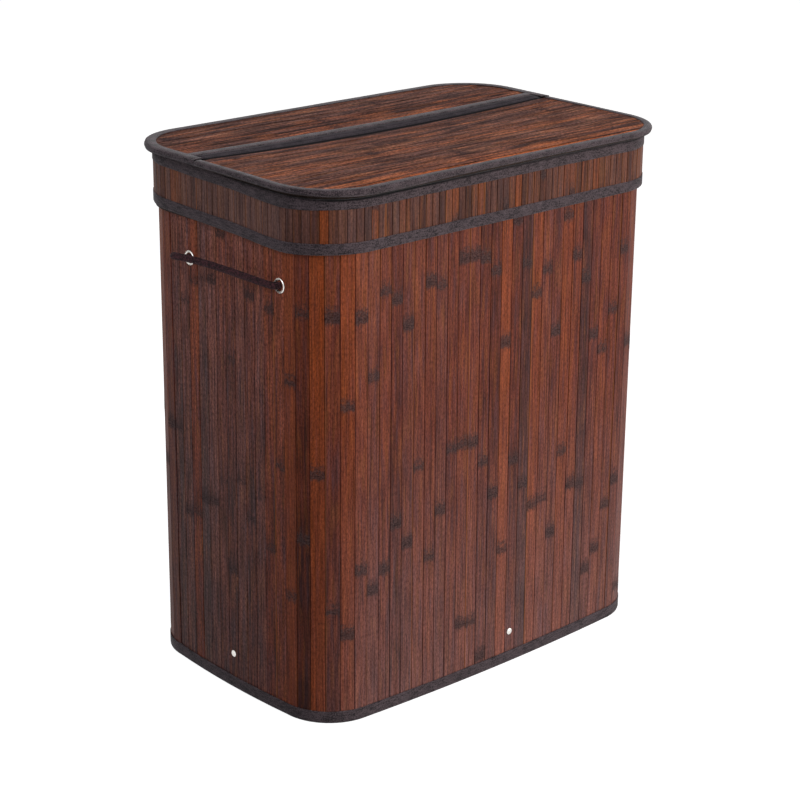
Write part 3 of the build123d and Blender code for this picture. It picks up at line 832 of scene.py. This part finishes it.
# the skirt's left side gets painted light, where the fill lamp falls on it
SKIRT = WALLS._replace(
    pitch=SKIRT_PITCH, foot=SKIRT_BOTTOM + TAPE + END_PLAY, head=SKIRT_TOP - TAPE - END_PLAY,
    offset=SKIRT_OFFSET, thickness=SKIRT_SLAT_THICKNESS, accents=SKIRT_ACCENTS, joints={},
    lighter=(0.0, 0.0, 0.16, 0.0), worn=(0.06, 0.06, 0.06, 0.06))
SKIRT_CORNERS = SKIRT._replace(
    accents=SKIRT_CORNER_ACCENTS, grey=WALL_CORNERS.grey, lighter=WALLS.lighter,
    strength=WALL_CORNERS.strength, corners=True)


def placed_joints(table, side, number):
    """The heights of a strip's joints, where the table gives them."""
    known = table.get(side, ())
    if number >= len(known) or not known[number]:
        return None
    return [height * MM for height in known[number]]


def strips(course, draw, sides):
    """The strips along the straight stretches of some walls or, for a course of corners, round
    the corners that follow them, where they stand flat and square to the curve."""
    whole = bmesh.new()
    near = None
    for side in sides:
        curve = (CORNER_RADIUS + course.offset) * pi / 2
        run = curve if course.corners else 2 * half_run(side)
        count = max(2, round(run / course.pitch))
        step = run / count
        for number in range(count):
            near = joints = joint_heights(draw, course.foot, course.head, near)
            joints = placed_joints(course.joints, side, number) or joints
            tone, glow = strip_tone(draw, course.grey[side])
            tone, glow = course.accents.get((side, number), (tone + course.lighter[side], glow))
            middle = number + 0.5

            def seat(x, y, z):
                """Where a point of the strip comes to lie."""
                if course.corners:
                    turn = middle * pi / 2 / count
                    point, tangent, normal = corner_seat(side, turn, z, course.offset)
                    return point + tangent * x + normal * y
                place = middle * step - half_run(side)
                point, tangent, normal = wall_seat(side, place, z, course.offset == 0)
                return point + tangent * x + normal * (y + course.offset)

            bm = build_strip(course, step - bpy.context.scene.hamper_slats.gap, joints)
            dress_strip(bm, course, side, joints, tone, glow, draw, seat)
            add_to(whole, bm)
    return whole


def lid_strips(first_y, last_y, draw, accents):
    """The strips of a lid panel, laid along x and cut to the lid's rounded outline."""
    settings = bpy.context.scene.hamper_slats
    count = max(1, round((last_y - first_y) / SLAT_PITCH))
    step = (last_y - first_y) / count
    whole = bmesh.new()
    near = None
    for number in range(count):
        low = first_y + number * step + settings.gap / 2
        high = low + step - settings.gap
        bm = lid_slab(low, high, LID_SLAT_TOP, SLAT_THICKNESS)
        bmesh.ops.recalc_face_normals(bm, faces=bm.faces[:])
        round_edges(bm, [e for e in bm.edges
                         if all(v.co.z > LID_SLAT_TOP - 1e-6 for v in e.verts)
                         and abs(e.verts[0].co.y - e.verts[1].co.y) < 1e-6
                         and abs(e.verts[0].co.x - e.verts[1].co.x) > 0.1])
        near = joints = joint_heights(draw, -0.25, 0.25, near)
        cut_rows(bm, X, [joint + row for joint in joints for row in joint_rows()])
        cut_rows(bm, X, [place * 0.03 + 0.0003 for place in range(-8, 9)])
        tone, glow = accents.get(number, strip_tone(draw))
        colour = lay_grain(bm, draw, lambda co: (co.y + co.z, co.x))
        marks = [draw.uniform(0.25, 0.75) for _ in joints]
        lift = draw.uniform(-settings.lift, settings.lift)
        lean = draw.uniform(-settings.tilt, settings.tilt) * 0.7
        for vert in bm.verts:
            co = vert.co
            joint = joint_share(co.x, joints, marks)
            vert[colour] = (tone, glow, joint, 0.0)
            top = co.z > LID_SLAT_TOP - SLAT_THICKNESS / 2
            co.z += (settings.joint_swell * joint if top else 0.0) + lift
            co.z += (co.y - (low + high) / 2) * math.tan(lean)
            co.z -= lid_sag(co.x, co.y)
        add_to(whole, bm)
    return whole


# ------------------------------------------------------------------ operators
class HAMPER_OT_wall_slats(bpy.types.Operator):
    """Make the bamboo strips of the four walls and their corners"""
    bl_idname = "hamper.wall_slats"
    bl_label = "Wall strips"

    def execute(self, context):
        draw = random.Random(context.scene.hamper_slats.seed)
        for side, name in SIDE_NAMES.items():
            look = "side_bamboo" if side in (LEFT, RIGHT) else "wall_bamboo"
            new_piece(f"bamboo_{name}_wall", strips(WALLS, draw, [side]), look, "hamper",
                      f"{name}_slats")
        new_piece("bamboo_wall_corners", strips(WALL_CORNERS, draw, SIDE_NAMES), "wall_bamboo",
                  "hamper", "corner_slats")
        return {"FINISHED"}


class HAMPER_OT_skirt_slats(bpy.types.Operator):
    """Make the narrow bamboo strips of the lid's skirt"""
    bl_idname = "hamper.skirt_slats"
    bl_label = "Skirt strips"

    def execute(self, context):
        draw = random.Random(context.scene.hamper_slats.seed + 1)
        made = {f"bamboo_skirt_{name}": (strips(SKIRT, draw, [side]), f"skirt_{name}_slats")
                for side, name in SIDE_NAMES.items()}
        made["bamboo_skirt_corners"] = (strips(SKIRT_CORNERS, draw, SIDE_NAMES),
                                        "skirt_corner_slats")
        for name, (bm, node) in made.items():
            shape_skirt(bm)
            new_piece(name, bm, "skirt_bamboo", "lid", node)
        return {"FINISHED"}


class HAMPER_OT_lid_slats(bpy.types.Operator):
    """Make the bamboo strips on top of the lid's flap and rear panel"""
    bl_idname = "hamper.lid_slats"
    bl_label = "Lid strips"

    def execute(self, context):
        draw = random.Random(context.scene.hamper_slats.seed + 2)
        edge = BODY_DEPTH / 2 + LID_EDGE
        flap = lid_strips(-edge, FLAP_REAR, draw, {0: (0.78, 0.5), 1: (0.66, 0.2), 2: (0.5, 0.05)})
        new_piece("bamboo_flap", flap, "lid_bamboo", "lid_flap", "flap_slats")
        rear = lid_strips(PANEL_START, edge, draw,
                          {0: (0.66, 0.25), 1: (0.5, 0.08), 2: (0.32, 0.0), 3: (0.36, 0.0)})
        new_piece("bamboo_rear_panel", rear, "lid_bamboo", "lid", "rear_panel_slats")
        return {"FINISHED"}


class HAMPER_OT_body_tapes(bpy.types.Operator):
    """Make the folded tapes on the body's foot and rim"""
    bl_idname = "hamper.body_tapes"
    bl_label = "Body tapes"

    def execute(self, context):
        wobble = context.scene.hamper_tape.wobble
        for name, edge, way, seed in (("foot", 0.0, 1, 3), ("rim", RIM_TOP, -1, 5)):
            opening = edge + way * BODY_TAPE_HEIGHT
            bm = swept_profile(folded_tape(*BODY_TAPE, edge, opening))
            wave(bm, opening, wobble, seed)
            bow_verts(bm)
            new_tape(name, bm, "hamper")
        return {"FINISHED"}


def along_front(y):
    """1 along the front, falling to 0 where the corners start."""
    return progress(y, -0.12, -0.03)


def shade_fold(bm):
    """Paint shade on the skirt's upper fold along the front, in the shadow of the flap that covers
    it.
    """
    fold = bm.verts.layers.float.new("fold")
    for vert in bm.verts:
        co = vert.co
        below = co.z - (SKIRT_TOP - skirt_drop(co.x, co.y))
        vert[fold] = ((0.96 - 0.4 * progress(co.x, -0.12, 0.16)) * along_front(co.y)
                      * progress(below, -0.0023, 0.0006))


class HAMPER_OT_skirt_tapes(bpy.types.Operator):
    """Make the folded tapes on the skirt's upper and lower edges"""
    bl_idname = "hamper.skirt_tapes"
    bl_label = "Skirt tapes"

    def execute(self, context):
        wobble = context.scene.hamper_tape.wobble
        opening = SKIRT_BOTTOM + SKIRT_TAPE_HEIGHTS[0]
        lower = swept_profile(folded_tape(*SKIRT_TAPE, SKIRT_BOTTOM, opening))
        wave(lower, opening, wobble, 8)
        wave(lower, SKIRT_BOTTOM, 0.6 * wobble, 9, 0.12)
        shape_skirt(lower)
        new_tape("skirt_bottom", lower, "lid")
        opening = SKIRT_TOP - SKIRT_TAPE_HEIGHTS[1]
        upper = swept_profile(folded_tape(*SKIRT_TAPE, SKIRT_TOP, opening))
        cut_rows(upper, Z, [SKIRT_TOP - 0.0024])
        wave(upper, opening, wobble, 12)
        shape_skirt(upper)
        shade_fold(upper)
        new_tape("skirt_top", upper, "lid")
        return {"FINISHED"}


def lid_tape_profile(width, top, bottom):
    """Profile of the tape round a lid panel's edge, with a full round outer fold."""
    outer, inner = LID_OVERHANG, LID_OVERHANG - width
    radius = (top - bottom) / 2
    fold = arc((outer - radius, (top + bottom) / 2), radius, radius, range(90, -91, -30))
    return [(inner, top - 0.0004), (inner + 0.0015, top), *fold, (inner + 0.0015, bottom),
            (inner, bottom + 0.0004), (inner, bottom + TAPE), (outer - 0.001, bottom + TAPE),
            (outer - 0.001, top - 0.0007), (inner, top - 0.0007)]


def fill_ends(bm, cut):
    """Close the openings that a cut has left."""
    edges = [g for g in cut["geom_cut"] if isinstance(g, bmesh.types.BMEdge)]
    loops = [e for e in edges if e.is_valid and e.is_boundary]
    bmesh.ops.holes_fill(bm, edges=loops, sides=0)


class HAMPER_OT_lid_tapes(bpy.types.Operator):
    """Make the tapes round the lid's flap and rear panel"""
    bl_idname = "hamper.lid_tapes"
    bl_label = "Lid tapes"

    def execute(self, context):
        wobble = 0.4 * context.scene.hamper_tape.wobble
        flap = swept_profile(lid_tape_profile(FLAP_TAPE_WIDTH, HEIGHT - 0.0004, 0.5932))
        fill_ends(flap, cut_across(flap, (0, FLAP_REAR, 0), Y, clear=True))
        for vert in flap.verts:
            co = vert.co
            lie = flap_lie(co.x, co.y)
            # beside the near corner the fold is fuller and reaches further down
            fuller = 0.0022 * hump(co.x, -0.165, 0.07) * along_front(co.y)
            co.z -= fuller * progress(co.z, 0.5964, -0.0032)
            co.z += wobble * ripple(co, 20, 0.05) - lie
            co.z -= (lid_sag(co.x, co.y) - lie) * 0.5
        new_tape("flap", flap, "lid_flap", 0.0002)
        rear = swept_profile(lid_tape_profile(EDGE_TAPE_WIDTH, HEIGHT, 0.5926))
        fill_ends(rear, cut_across(rear, (0, FLAP_REAR + 0.0004, 0), (0, -1, 0), clear=True))
        for vert in rear.verts:
            vert.co.z += wobble * ripple(vert.co, 21, 0.05)
        add_front_band(rear)
        new_tape("rear_panel", rear, "lid", 0.0002)
        return {"FINISHED"}


def add_front_band(whole):
    """The tape folded over the rear panel's front edge, laid along x and sagging with it."""
    bm = bmesh.new()
    reach = BODY_LENGTH / 2 + LID_OVERHANG - 0.004
    top, bottom, radius = HEIGHT - 0.0003, 0.5927, 0.003
    rear = PANEL_FRONT + EDGE_TAPE_WIDTH
    fold = arc((PANEL_FRONT + radius, (top + bottom) / 2), radius, (top - bottom) / 2,
               range(90, 271, 30))
    outline = [(rear, top - 0.0004), (rear - 0.0015, top), *fold, (rear - 0.0015, bottom),
               (rear, bottom + 0.0004)]
    face = bm.faces.new([bm.verts.new((-reach, y, z)) for y, z in outline])
    extrude(bm, [face], (2 * reach, 0, 0))
    cut_rows(bm, X, [reach * (number / 16 - 1) for number in range(1, 32)])
    for vert in bm.verts:
        co = vert.co
        co.z -= lid_sag(co.x, co.y)
        co.y += 0.0006 * ripple(co, 31, 0.05)
    bmesh.ops.recalc_face_normals(bm, faces=bm.faces[:])
    add_to(whole, bm)


class HAMPER_OT_hinge_cloth(bpy.types.Operator):
    """Make the strip of cloth that joins the flap to the rear panel"""
    bl_idname = "hamper.hinge_cloth"
    bl_label = "Hinge cloth"

    def execute(self, context):
        bm = bmesh.new()
        low, high = FLAP_REAR - 0.0015, PANEL_FRONT + 0.002
        reach = BODY_LENGTH / 2 + 0.0012
        matrix = (Matrix.Translation((0, (low + high) / 2, HEIGHT - 0.0015))
                  @ Matrix.Diagonal((reach, (high - low) / 2, 1, 1)))
        bmesh.ops.create_grid(bm, x_segments=64, y_segments=27, size=1, matrix=matrix)
        fold = bm.verts.layers.float.new("fold")
        for vert in bm.verts:
            co = vert.co
            # the crease behind the flap's last strip is painted nearly black, as shade
            vert[fold] = 0.95 * progress(co.y, FLAP_REAR + 0.0046, -0.0008)
            share = (co.y - low) / (high - low)
            swell = sin(pi * max(0.0, (share - 0.22) / 0.78))
            crease = (0.0008 * hump(co.y - FLAP_REAR, 0.0016, 0.0014)
                      + 0.0006 * hump(co.y - FLAP_REAR, 0.0098, 0.0009))
            co.z += 0.0011 * swell * (1 + 0.6 * ripple(co, 40, 0.05)) - crease
            co.z -= (1 - share) * lid_sag(co.x, FLAP_REAR) + share * lid_sag(co.x, PANEL_FRONT)
        piece = new_piece("cloth_hinge", bm, "hinge_cloth", None, "hinge_cloth", True)
        solid = piece.modifiers.new("thickness", "SOLIDIFY")
        solid.thickness = 0.0007
        solid.offset = -1
        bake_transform(piece)
        return {"FINISHED"}


class HAMPER_OT_lid_boards(bpy.types.Operator):
    """Make the lid's sagging boards and their lining"""
    bl_idname = "hamper.lid_boards"
    bl_label = "Lid boards"

    def execute(self, context):
        spans = {"flap": (-1.0, FLAP_REAR, "lid_flap"), "rear_panel": (PANEL_START, 1.0, "lid")}
        layers = {"board": (LID_BOARD_BOTTOM, LID_BOARD_TOP, "hardboard"),
                  "lining": (LID_LINING_BOTTOM, LID_BOARD_BOTTOM, "lining_cloth")}
        for panel, (low, high, body) in spans.items():
            for layer, (bottom, top, finish_name) in layers.items():
                bm = lid_slab(low, high, top, top - bottom)
                cut_rows(bm, X, [number * 0.03 for number in range(-8, 9)])
                cut_rows(bm, Y, [number * 0.02 + 0.001 for number in range(-8, 9)])
                for vert in bm.verts:
                    vert.co.z -= lid_sag(vert.co.x, vert.co.y)
                new_piece(f"{layer}_{panel}", bm, finish_name, body, f"{panel}_{layer}")
        return {"FINISHED"}


def eyelet_seats(side):
    """Seats of a side's two eyelets; on the left, places run the other way along the wall."""
    return [(side, y if side == RIGHT else -y, z) for y, z in EYELETS]


def spun_fittings(name, profile, steps, seats, node):
    """Make one piece of all fittings that share a profile, each on its seat."""
    whole = bmesh.new()
    for seat in seats:
        bm = spun(profile, steps)
        bm.transform(plain_seat(*seat))
        add_to(whole, bm)
    new_piece(name, whole, "nickel", "hamper", node, True)


def spun(profile, steps=40):
    """Ring or dome: points of (radius, out) spun about the x axis; a radius of 0 closes it."""
    bm = bmesh.new()
    verts = [bm.verts.new((out, 0, radius)) for radius, out in profile]
    edges = [bm.edges.new(pair) for pair in zip(verts, verts[1:])]
    if profile[0][0] > 0:
        edges.append(bm.edges.new((verts[-1], verts[0])))
    bmesh.ops.spin(bm, geom=verts + edges, cent=(0, 0, 0), axis=(1, 0, 0), angle=2 * pi,
                   steps=steps, use_merge=True)
    bmesh.ops.remove_doubles(bm, verts=bm.verts[:], dist=1e-6)
    bmesh.ops.recalc_face_normals(bm, faces=bm.faces[:])
    return bm


def plain_seat(side, place, height):
    point = wall_seat(side, place, height)[0]
    return Matrix.Translation(point) @ Matrix.Rotation(side * pi / 2, 4, "Z")


class HAMPER_OT_fittings(bpy.types.Operator):
    """Make the eyelets of the handles and the rivets of the base"""
    bl_idname = "hamper.fittings"
    bl_label = "Eyelets and rivets"

    def execute(self, context):
        bore, flange, rise, washer = 0.00575, 0.0083, 0.00059, 0.0077
        roll = [(bore + 0.0004, WASHER_FACE), (bore, -0.002), (bore, rise),
                *arc((bore + 0.0016, rise), -0.0016, 0.0012, (30, 60, 90)),
                *arc((flange - 0.0012, rise), 0.0012, 0.0012, (90, 55, 25, 0)),
                (flange - 0.0005, rise), (bore + 0.0006, rise), (bore + 0.0006, WASHER_FACE),
                (washer, WASHER_FACE), (washer, WASHER_FACE - 0.0005),
                (0.0070, WASHER_FACE - 0.00085), (bore + 0.0008, WASHER_FACE - 0.0006)]
        spun_fittings("eyelets", roll, 40, eyelet_seats(LEFT) + eyelet_seats(RIGHT),
                      "handle_eyelets")
        dome = [(0.0, 0.00145), (0.0017, 0.00138), (0.0029, 0.00112), (0.0037, 0.0007),
                (0.0041, 0.0003), (0.0040, 0.00015), (0.0016, 0.00015), (0.0016, -0.004),
                (0.0028, -0.004), (0.0027, -0.0047), (0.0018, -0.005), (0.0, -0.005)]
        spun_fittings("rivets", dome, 28, [
            (FRONT, RIVET_X, RIVET_Z), (REAR, -RIVET_X, RIVET_Z),
            (LEFT, -SIDE_RIVET_Y, SIDE_RIVET_Z), (RIGHT, SIDE_RIVET_Y, SIDE_RIVET_Z)],
            "base_rivets")
        return {"FINISHED"}


# ------------------------------------------------------------------ rope handles
def new_curve(thickness=0.0, rounding=0):
    """Curve without points; one with a thickness is round, and closed at its ends."""
    curve = bpy.data.curves.new("curve", "CURVE")
    curve.dimensions = "3D"
    if thickness:
        curve.bevel_depth = thickness
        curve.bevel_resolution = rounding
        curve.use_fill_caps = True
    return curve


def add_spline(curve, kind, points, radius=1.0):
    spline = curve.splines.new(kind)
    spline.points.add(len(points) - 1)
    for target, point in zip(spline.points, points):
        target.co = (*point, 1)
        target.radius = radius
    if kind == "NURBS":
        spline.order_u = 3
        spline.use_endpoint_u = True
    return spline


def curve_mesh(curve):
    """Mesh of a curve, which is then removed."""
    holder = place_object("curve", curve)
    bpy.context.view_layer.update()
    mesh = bpy.data.meshes.new_from_object(holder)
    bpy.data.objects.remove(holder)
    bpy.data.curves.remove(curve)
    return mesh


# ------------------------------------------------------------------ rope handles
def smooth_path(points):
    """Points along a smooth spline through a route."""
    curve = new_curve()
    add_spline(curve, "NURBS", points).resolution_u = 16
    mesh = curve_mesh(curve)
    line = [v.co.copy() for v in mesh.vertices]
    bpy.data.meshes.remove(mesh)
    return line


def even_steps(line, step):
    """Points at even steps along a line, each with its distance from the start."""
    lengths = [0.0]
    for a, b in zip(line, line[1:]):
        lengths.append(lengths[-1] + (b - a).length)
    count = max(2, round(lengths[-1] / step))
    out, segment = [], 0
    for number in range(count + 1):
        goal = lengths[-1] * number / count
        while segment < len(line) - 2 and lengths[segment + 1] < goal:
            segment += 1
        span = lengths[segment + 1] - lengths[segment]
        out.append((line[segment].lerp(line[segment + 1], (goal - lengths[segment]) / span), goal))
    return out, lengths[-1]


def braid(line, radius):
    """Mesh and length of a braided rope: strands that run both ways round the line, over and
    under each other."""
    settings = bpy.context.scene.hamper_rope
    steps, length = even_steps(line, 0.00075)
    strand = radius * 0.25
    curve = new_curve(strand, 1)
    up = Vector(Z)
    frames = []
    for number, (point, place) in enumerate(steps):
        before = steps[max(0, number - 1)][0]
        after = steps[min(len(steps) - 1, number + 1)][0]
        way = (after - before).normalized()
        side = way.cross(up).normalized()
        up = side.cross(way).normalized()
        frames.append((point, side, up.copy(), place))
    count = settings.strands
    for way in (1, -1):
        for number in range(count):
            start = 2 * pi * number / count
            turns = []
            for point, side, rise, place in frames:
                angle = start + way * 2 * pi * place / settings.lay_length
                weave = cos(count * (angle * way - start * way) + number * pi)
                out = radius - strand * 0.95 + 0.25 * strand * way * weave
                turns.append(point + side * out * cos(angle) + rise * out * sin(angle))
            add_spline(curve, "POLY", turns)
    add_spline(curve, "POLY", [point for point, *_ in frames], 0.8 * radius / strand)
    return curve_mesh(curve), length


def loop_points(side):
    """Route of a rope handle, begun and ended inside its eyelets."""
    (start_y, start_z), (end_y, end_z) = EYELETS
    facing = outward(side)
    points = [facing * (BODY_LENGTH / 2 + out)
              + Vector((0, start_y + share * (end_y - start_y), start_z + rise))
              for out, share, rise in ROPE_ROUTE]
    inner = facing * (BODY_LENGTH / 2 - 0.003)
    return [inner + Vector((0, start_y, start_z))] + points + [inner + Vector((0, end_y, end_z))]


class HAMPER_OT_rope_handles(bpy.types.Operator):
    """Make the two braided rope handles and the stopper knots inside the walls"""
    bl_idname = "hamper.rope_handles"
    bl_label = "Rope handles"

    def execute(self, context):
        for side in (LEFT, RIGHT):
            name = SIDE_NAMES[side]
            line = smooth_path(loop_points(side))
            mesh, length = braid(line, ROPE_DIAMETER / 2)
            rope = dressed(f"rope_{name}", mesh, "rope", f"{name}_handle_rope")
            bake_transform(rope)
            tuple(line[0])
            make_knots(side)
        return {"FINISHED"}


def make_knots(side):
    """Each end of a rope, tied in a stopper knot: one and a half tight turns over its own end."""
    name = SIDE_NAMES[side]
    route = [(-0.001, 0, 0), (-0.0055, 0, 0), (-0.0072, 0.002, 0)]
    for number in range(25):
        angle = 2 * pi * number / 11
        ring = 0.0044 if number < 23 else 0.0020
        route.append((-0.0085 - 0.0072 * number / 24, ring * cos(angle), ring * sin(angle)))
    route += [(-0.0150, 0, 0), (-0.0188, 0.0005, -0.0005)]
    whole = bmesh.new()
    for seat in eyelet_seats(side):
        curve = new_curve(0.0033, 3)
        add_spline(curve, "NURBS", route)
        mesh = curve_mesh(curve)
        mesh.transform(plain_seat(*seat))
        whole.from_mesh(mesh)
        bpy.data.meshes.remove(mesh)
    new_piece(f"knots_{name}", whole, "rope", "hamper", f"{name}_handle_knots", True)


class HAMPER_OT_plain_parts(bpy.types.Operator):
    """Give the parts that keep their solid's shape their finish"""
    bl_idname = "hamper.plain_parts"
    bl_label = "Plain parts"

    def execute(self, context):
        finishes = {"eyelet_washers": "nickel", "base_brackets": "zinc_steel",
                    "base_board": "hardboard", "base_cloth": "lining_cloth",
                    "seam_tape": "edge_tape"}
        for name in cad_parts:
            if name.endswith("_cloth") and name != "hinge_cloth":
                finishes.setdefault(name, "lining_cloth")
        for name, finish_name in finishes.items():
            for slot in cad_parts[name].material_slots:
                slot.material = finish(finish_name)
        return {"FINISHED"}


class HAMPER_OT_stage(bpy.types.Operator):
    """Set up the floor, the room, the lamps and the camera"""
    bl_idname = "hamper.stage"
    bl_label = "Stage"

    def execute(self, context):
        scene = context.scene
        settings = scene.hamper_stage
        add_floor()
        add_room(scene, settings.room)
        lamps = (("key", settings.key, (1.6, -3.0, 0.95), 2.0, (1, 1, 1)),
                 ("fill", settings.fill, (-1.6, -0.6, 1.75), 1.3, (0.93, 0.99, 1.12)),
                 ("top", settings.top, (0.2, 0.3, 2.6), 2.2, (1, 1, 1)))
        for name, power, place, size, colour in lamps:
            lamp = bpy.data.lights.new(f"{name}_lamp", "AREA")
            lamp.energy = power
            lamp.size = size
            lamp.color = colour
            holder = place_object(f"{name}_lamp", lamp)
            holder.location = place
            aim = Vector((0, 0, 0.32)) - Vector(place)
            holder.rotation_euler = aim.to_track_quat("-Z", "Y").to_euler()
        add_camera(scene, settings.lens)
        scene.view_settings.view_transform = "Standard"
        return {"FINISHED"}


def empty_tree(owner):
    owner.use_nodes = True
    owner.node_tree.nodes.clear()
    return owner.node_tree


def show(tree, output, lit, seen):
    """Output a shader that lights the hamper, or else the plain white one that rays from the
    eye, off gloss and through glass are to find."""
    path = add_node(tree, "ShaderNodeLightPath").outputs
    direct = maths(tree, "MAXIMUM", path["Is Camera Ray"], path["Is Glossy Ray"])
    direct = maths(tree, "MAXIMUM", direct, path["Is Transmission Ray"])
    mix = add_node(tree, "ShaderNodeMixShader", {0: direct, 1: lit, 2: seen})
    add_node(tree, output, {"Surface": mix.outputs[0]})


def add_floor():
    """A plain white floor that shows white and keeps a trace of the hamper's shadow."""
    bm = bmesh.new()
    bmesh.ops.create_grid(bm, x_segments=1, y_segments=1, size=30)
    floor = place_object("floor", mesh_of(bm, "floor"))
    floor.location = (0, 0, -0.0005)
    material = bpy.data.materials.new("white_floor")
    floor.data.materials.append(material)
    tree = empty_tree(material)
    lit = add_node(tree, "ShaderNodeBsdfDiffuse", {"Color": (0.5, 0.5, 0.5, 1)}).outputs[0]
    glow = add_node(tree, "ShaderNodeEmission", {"Color": (1, 1, 1, 1), "Strength": 0.86})
    both = add_node(tree, "ShaderNodeAddShader", {0: lit, 1: glow.outputs[0]}).outputs[0]
    show(tree, "ShaderNodeOutputMaterial", lit, both)


def add_room(scene, strength):
    """Even light from all round, white where it is seen."""
    scene.world = bpy.data.worlds.new("white_room")
    tree = empty_tree(scene.world)
    room, white = (add_node(tree, "ShaderNodeBackground", {
        "Color": (1, 1, 1, 1), "Strength": value}).outputs[0] for value in (strength, 1.0))
    show(tree, "ShaderNodeOutputWorld", room, white)


CAMERA_PLACE = (-1.5704, -1.7270, 1.11205)
CAMERA_AZIMUTH, CAMERA_ELEVATION, CAMERA_ROLL = -42.2501, 19.5868, 0.5771


def add_camera(scene, lens):
    """Camera at eye level to the left of the front, turned a little about its own axis."""
    azimuth, elevation, roll = map(radians, (CAMERA_AZIMUTH, CAMERA_ELEVATION, CAMERA_ROLL))
    back = Vector((sin(azimuth) * cos(elevation), -cos(azimuth) * cos(elevation), sin(elevation)))
    right = Vector((cos(azimuth), sin(azimuth), 0))
    up = back.cross(right)
    x_axis = right * cos(roll) + up * sin(roll)
    y_axis = up * cos(roll) - right * sin(roll)
    data = bpy.data.cameras.new("camera")
    data.lens = lens
    data.sensor_width = 36
    data.clip_end = 100
    camera = place_object("camera", data)
    turn = Matrix((x_axis, y_axis, back)).transposed().to_4x4()
    camera.matrix_world = Matrix.Translation(CAMERA_PLACE) @ turn
    scene.camera = camera


class HAMPER_PT_parts(bpy.types.Panel):
    """Settings and makers of the hamper's pieces"""
    bl_idname = "HAMPER_PT_parts"
    bl_label = "Laundry hamper"
    bl_space_type = "VIEW_3D"
    bl_region_type = "UI"
    bl_category = "Hamper"

    def draw(self, context):
        for group in SETTINGS:
            settings = getattr(context.scene, group)
            box = self.layout.box()
            for name in settings.bl_rna.properties.keys():
                if name not in ("rna_type", "name"):
                    box.prop(settings, name)
        for operator in OPERATORS:
            self.layout.operator(operator.bl_idname)


SETTINGS = {
    "hamper_slats": HamperSlatSettings, "hamper_tape": HamperTapeSettings,
    "hamper_rope": HamperRopeSettings, "hamper_colours": HamperColourSettings,
    "hamper_stage": HamperStageSettings,
}
OPERATORS = (
    HAMPER_OT_stage, HAMPER_OT_rope_handles, HAMPER_OT_wall_slats, HAMPER_OT_skirt_slats,
    HAMPER_OT_lid_slats, HAMPER_OT_lid_boards, HAMPER_OT_body_tapes, HAMPER_OT_skirt_tapes,
    HAMPER_OT_lid_tapes, HAMPER_OT_hinge_cloth, HAMPER_OT_fittings, HAMPER_OT_plain_parts,
)


def register():
    for group in (*SETTINGS.values(), *OPERATORS, HAMPER_PT_parts):
        bpy.utils.register_class(group)
    for name, group in SETTINGS.items():
        setattr(bpy.types.Scene, name, PointerProperty(type=group))


def unregister():
    for name in SETTINGS:
        delattr(bpy.types.Scene, name)
    for group in (HAMPER_PT_parts, *reversed(OPERATORS), *SETTINGS.values()):
        bpy.utils.unregister_class(group)


def main():
    register()
    for operator in OPERATORS:
        area, name = operator.bl_idname.split(".")
        getattr(getattr(bpy.ops, area), name)()
    bpy.context.view_layer.update()


if __name__ == "__main__":
    main()
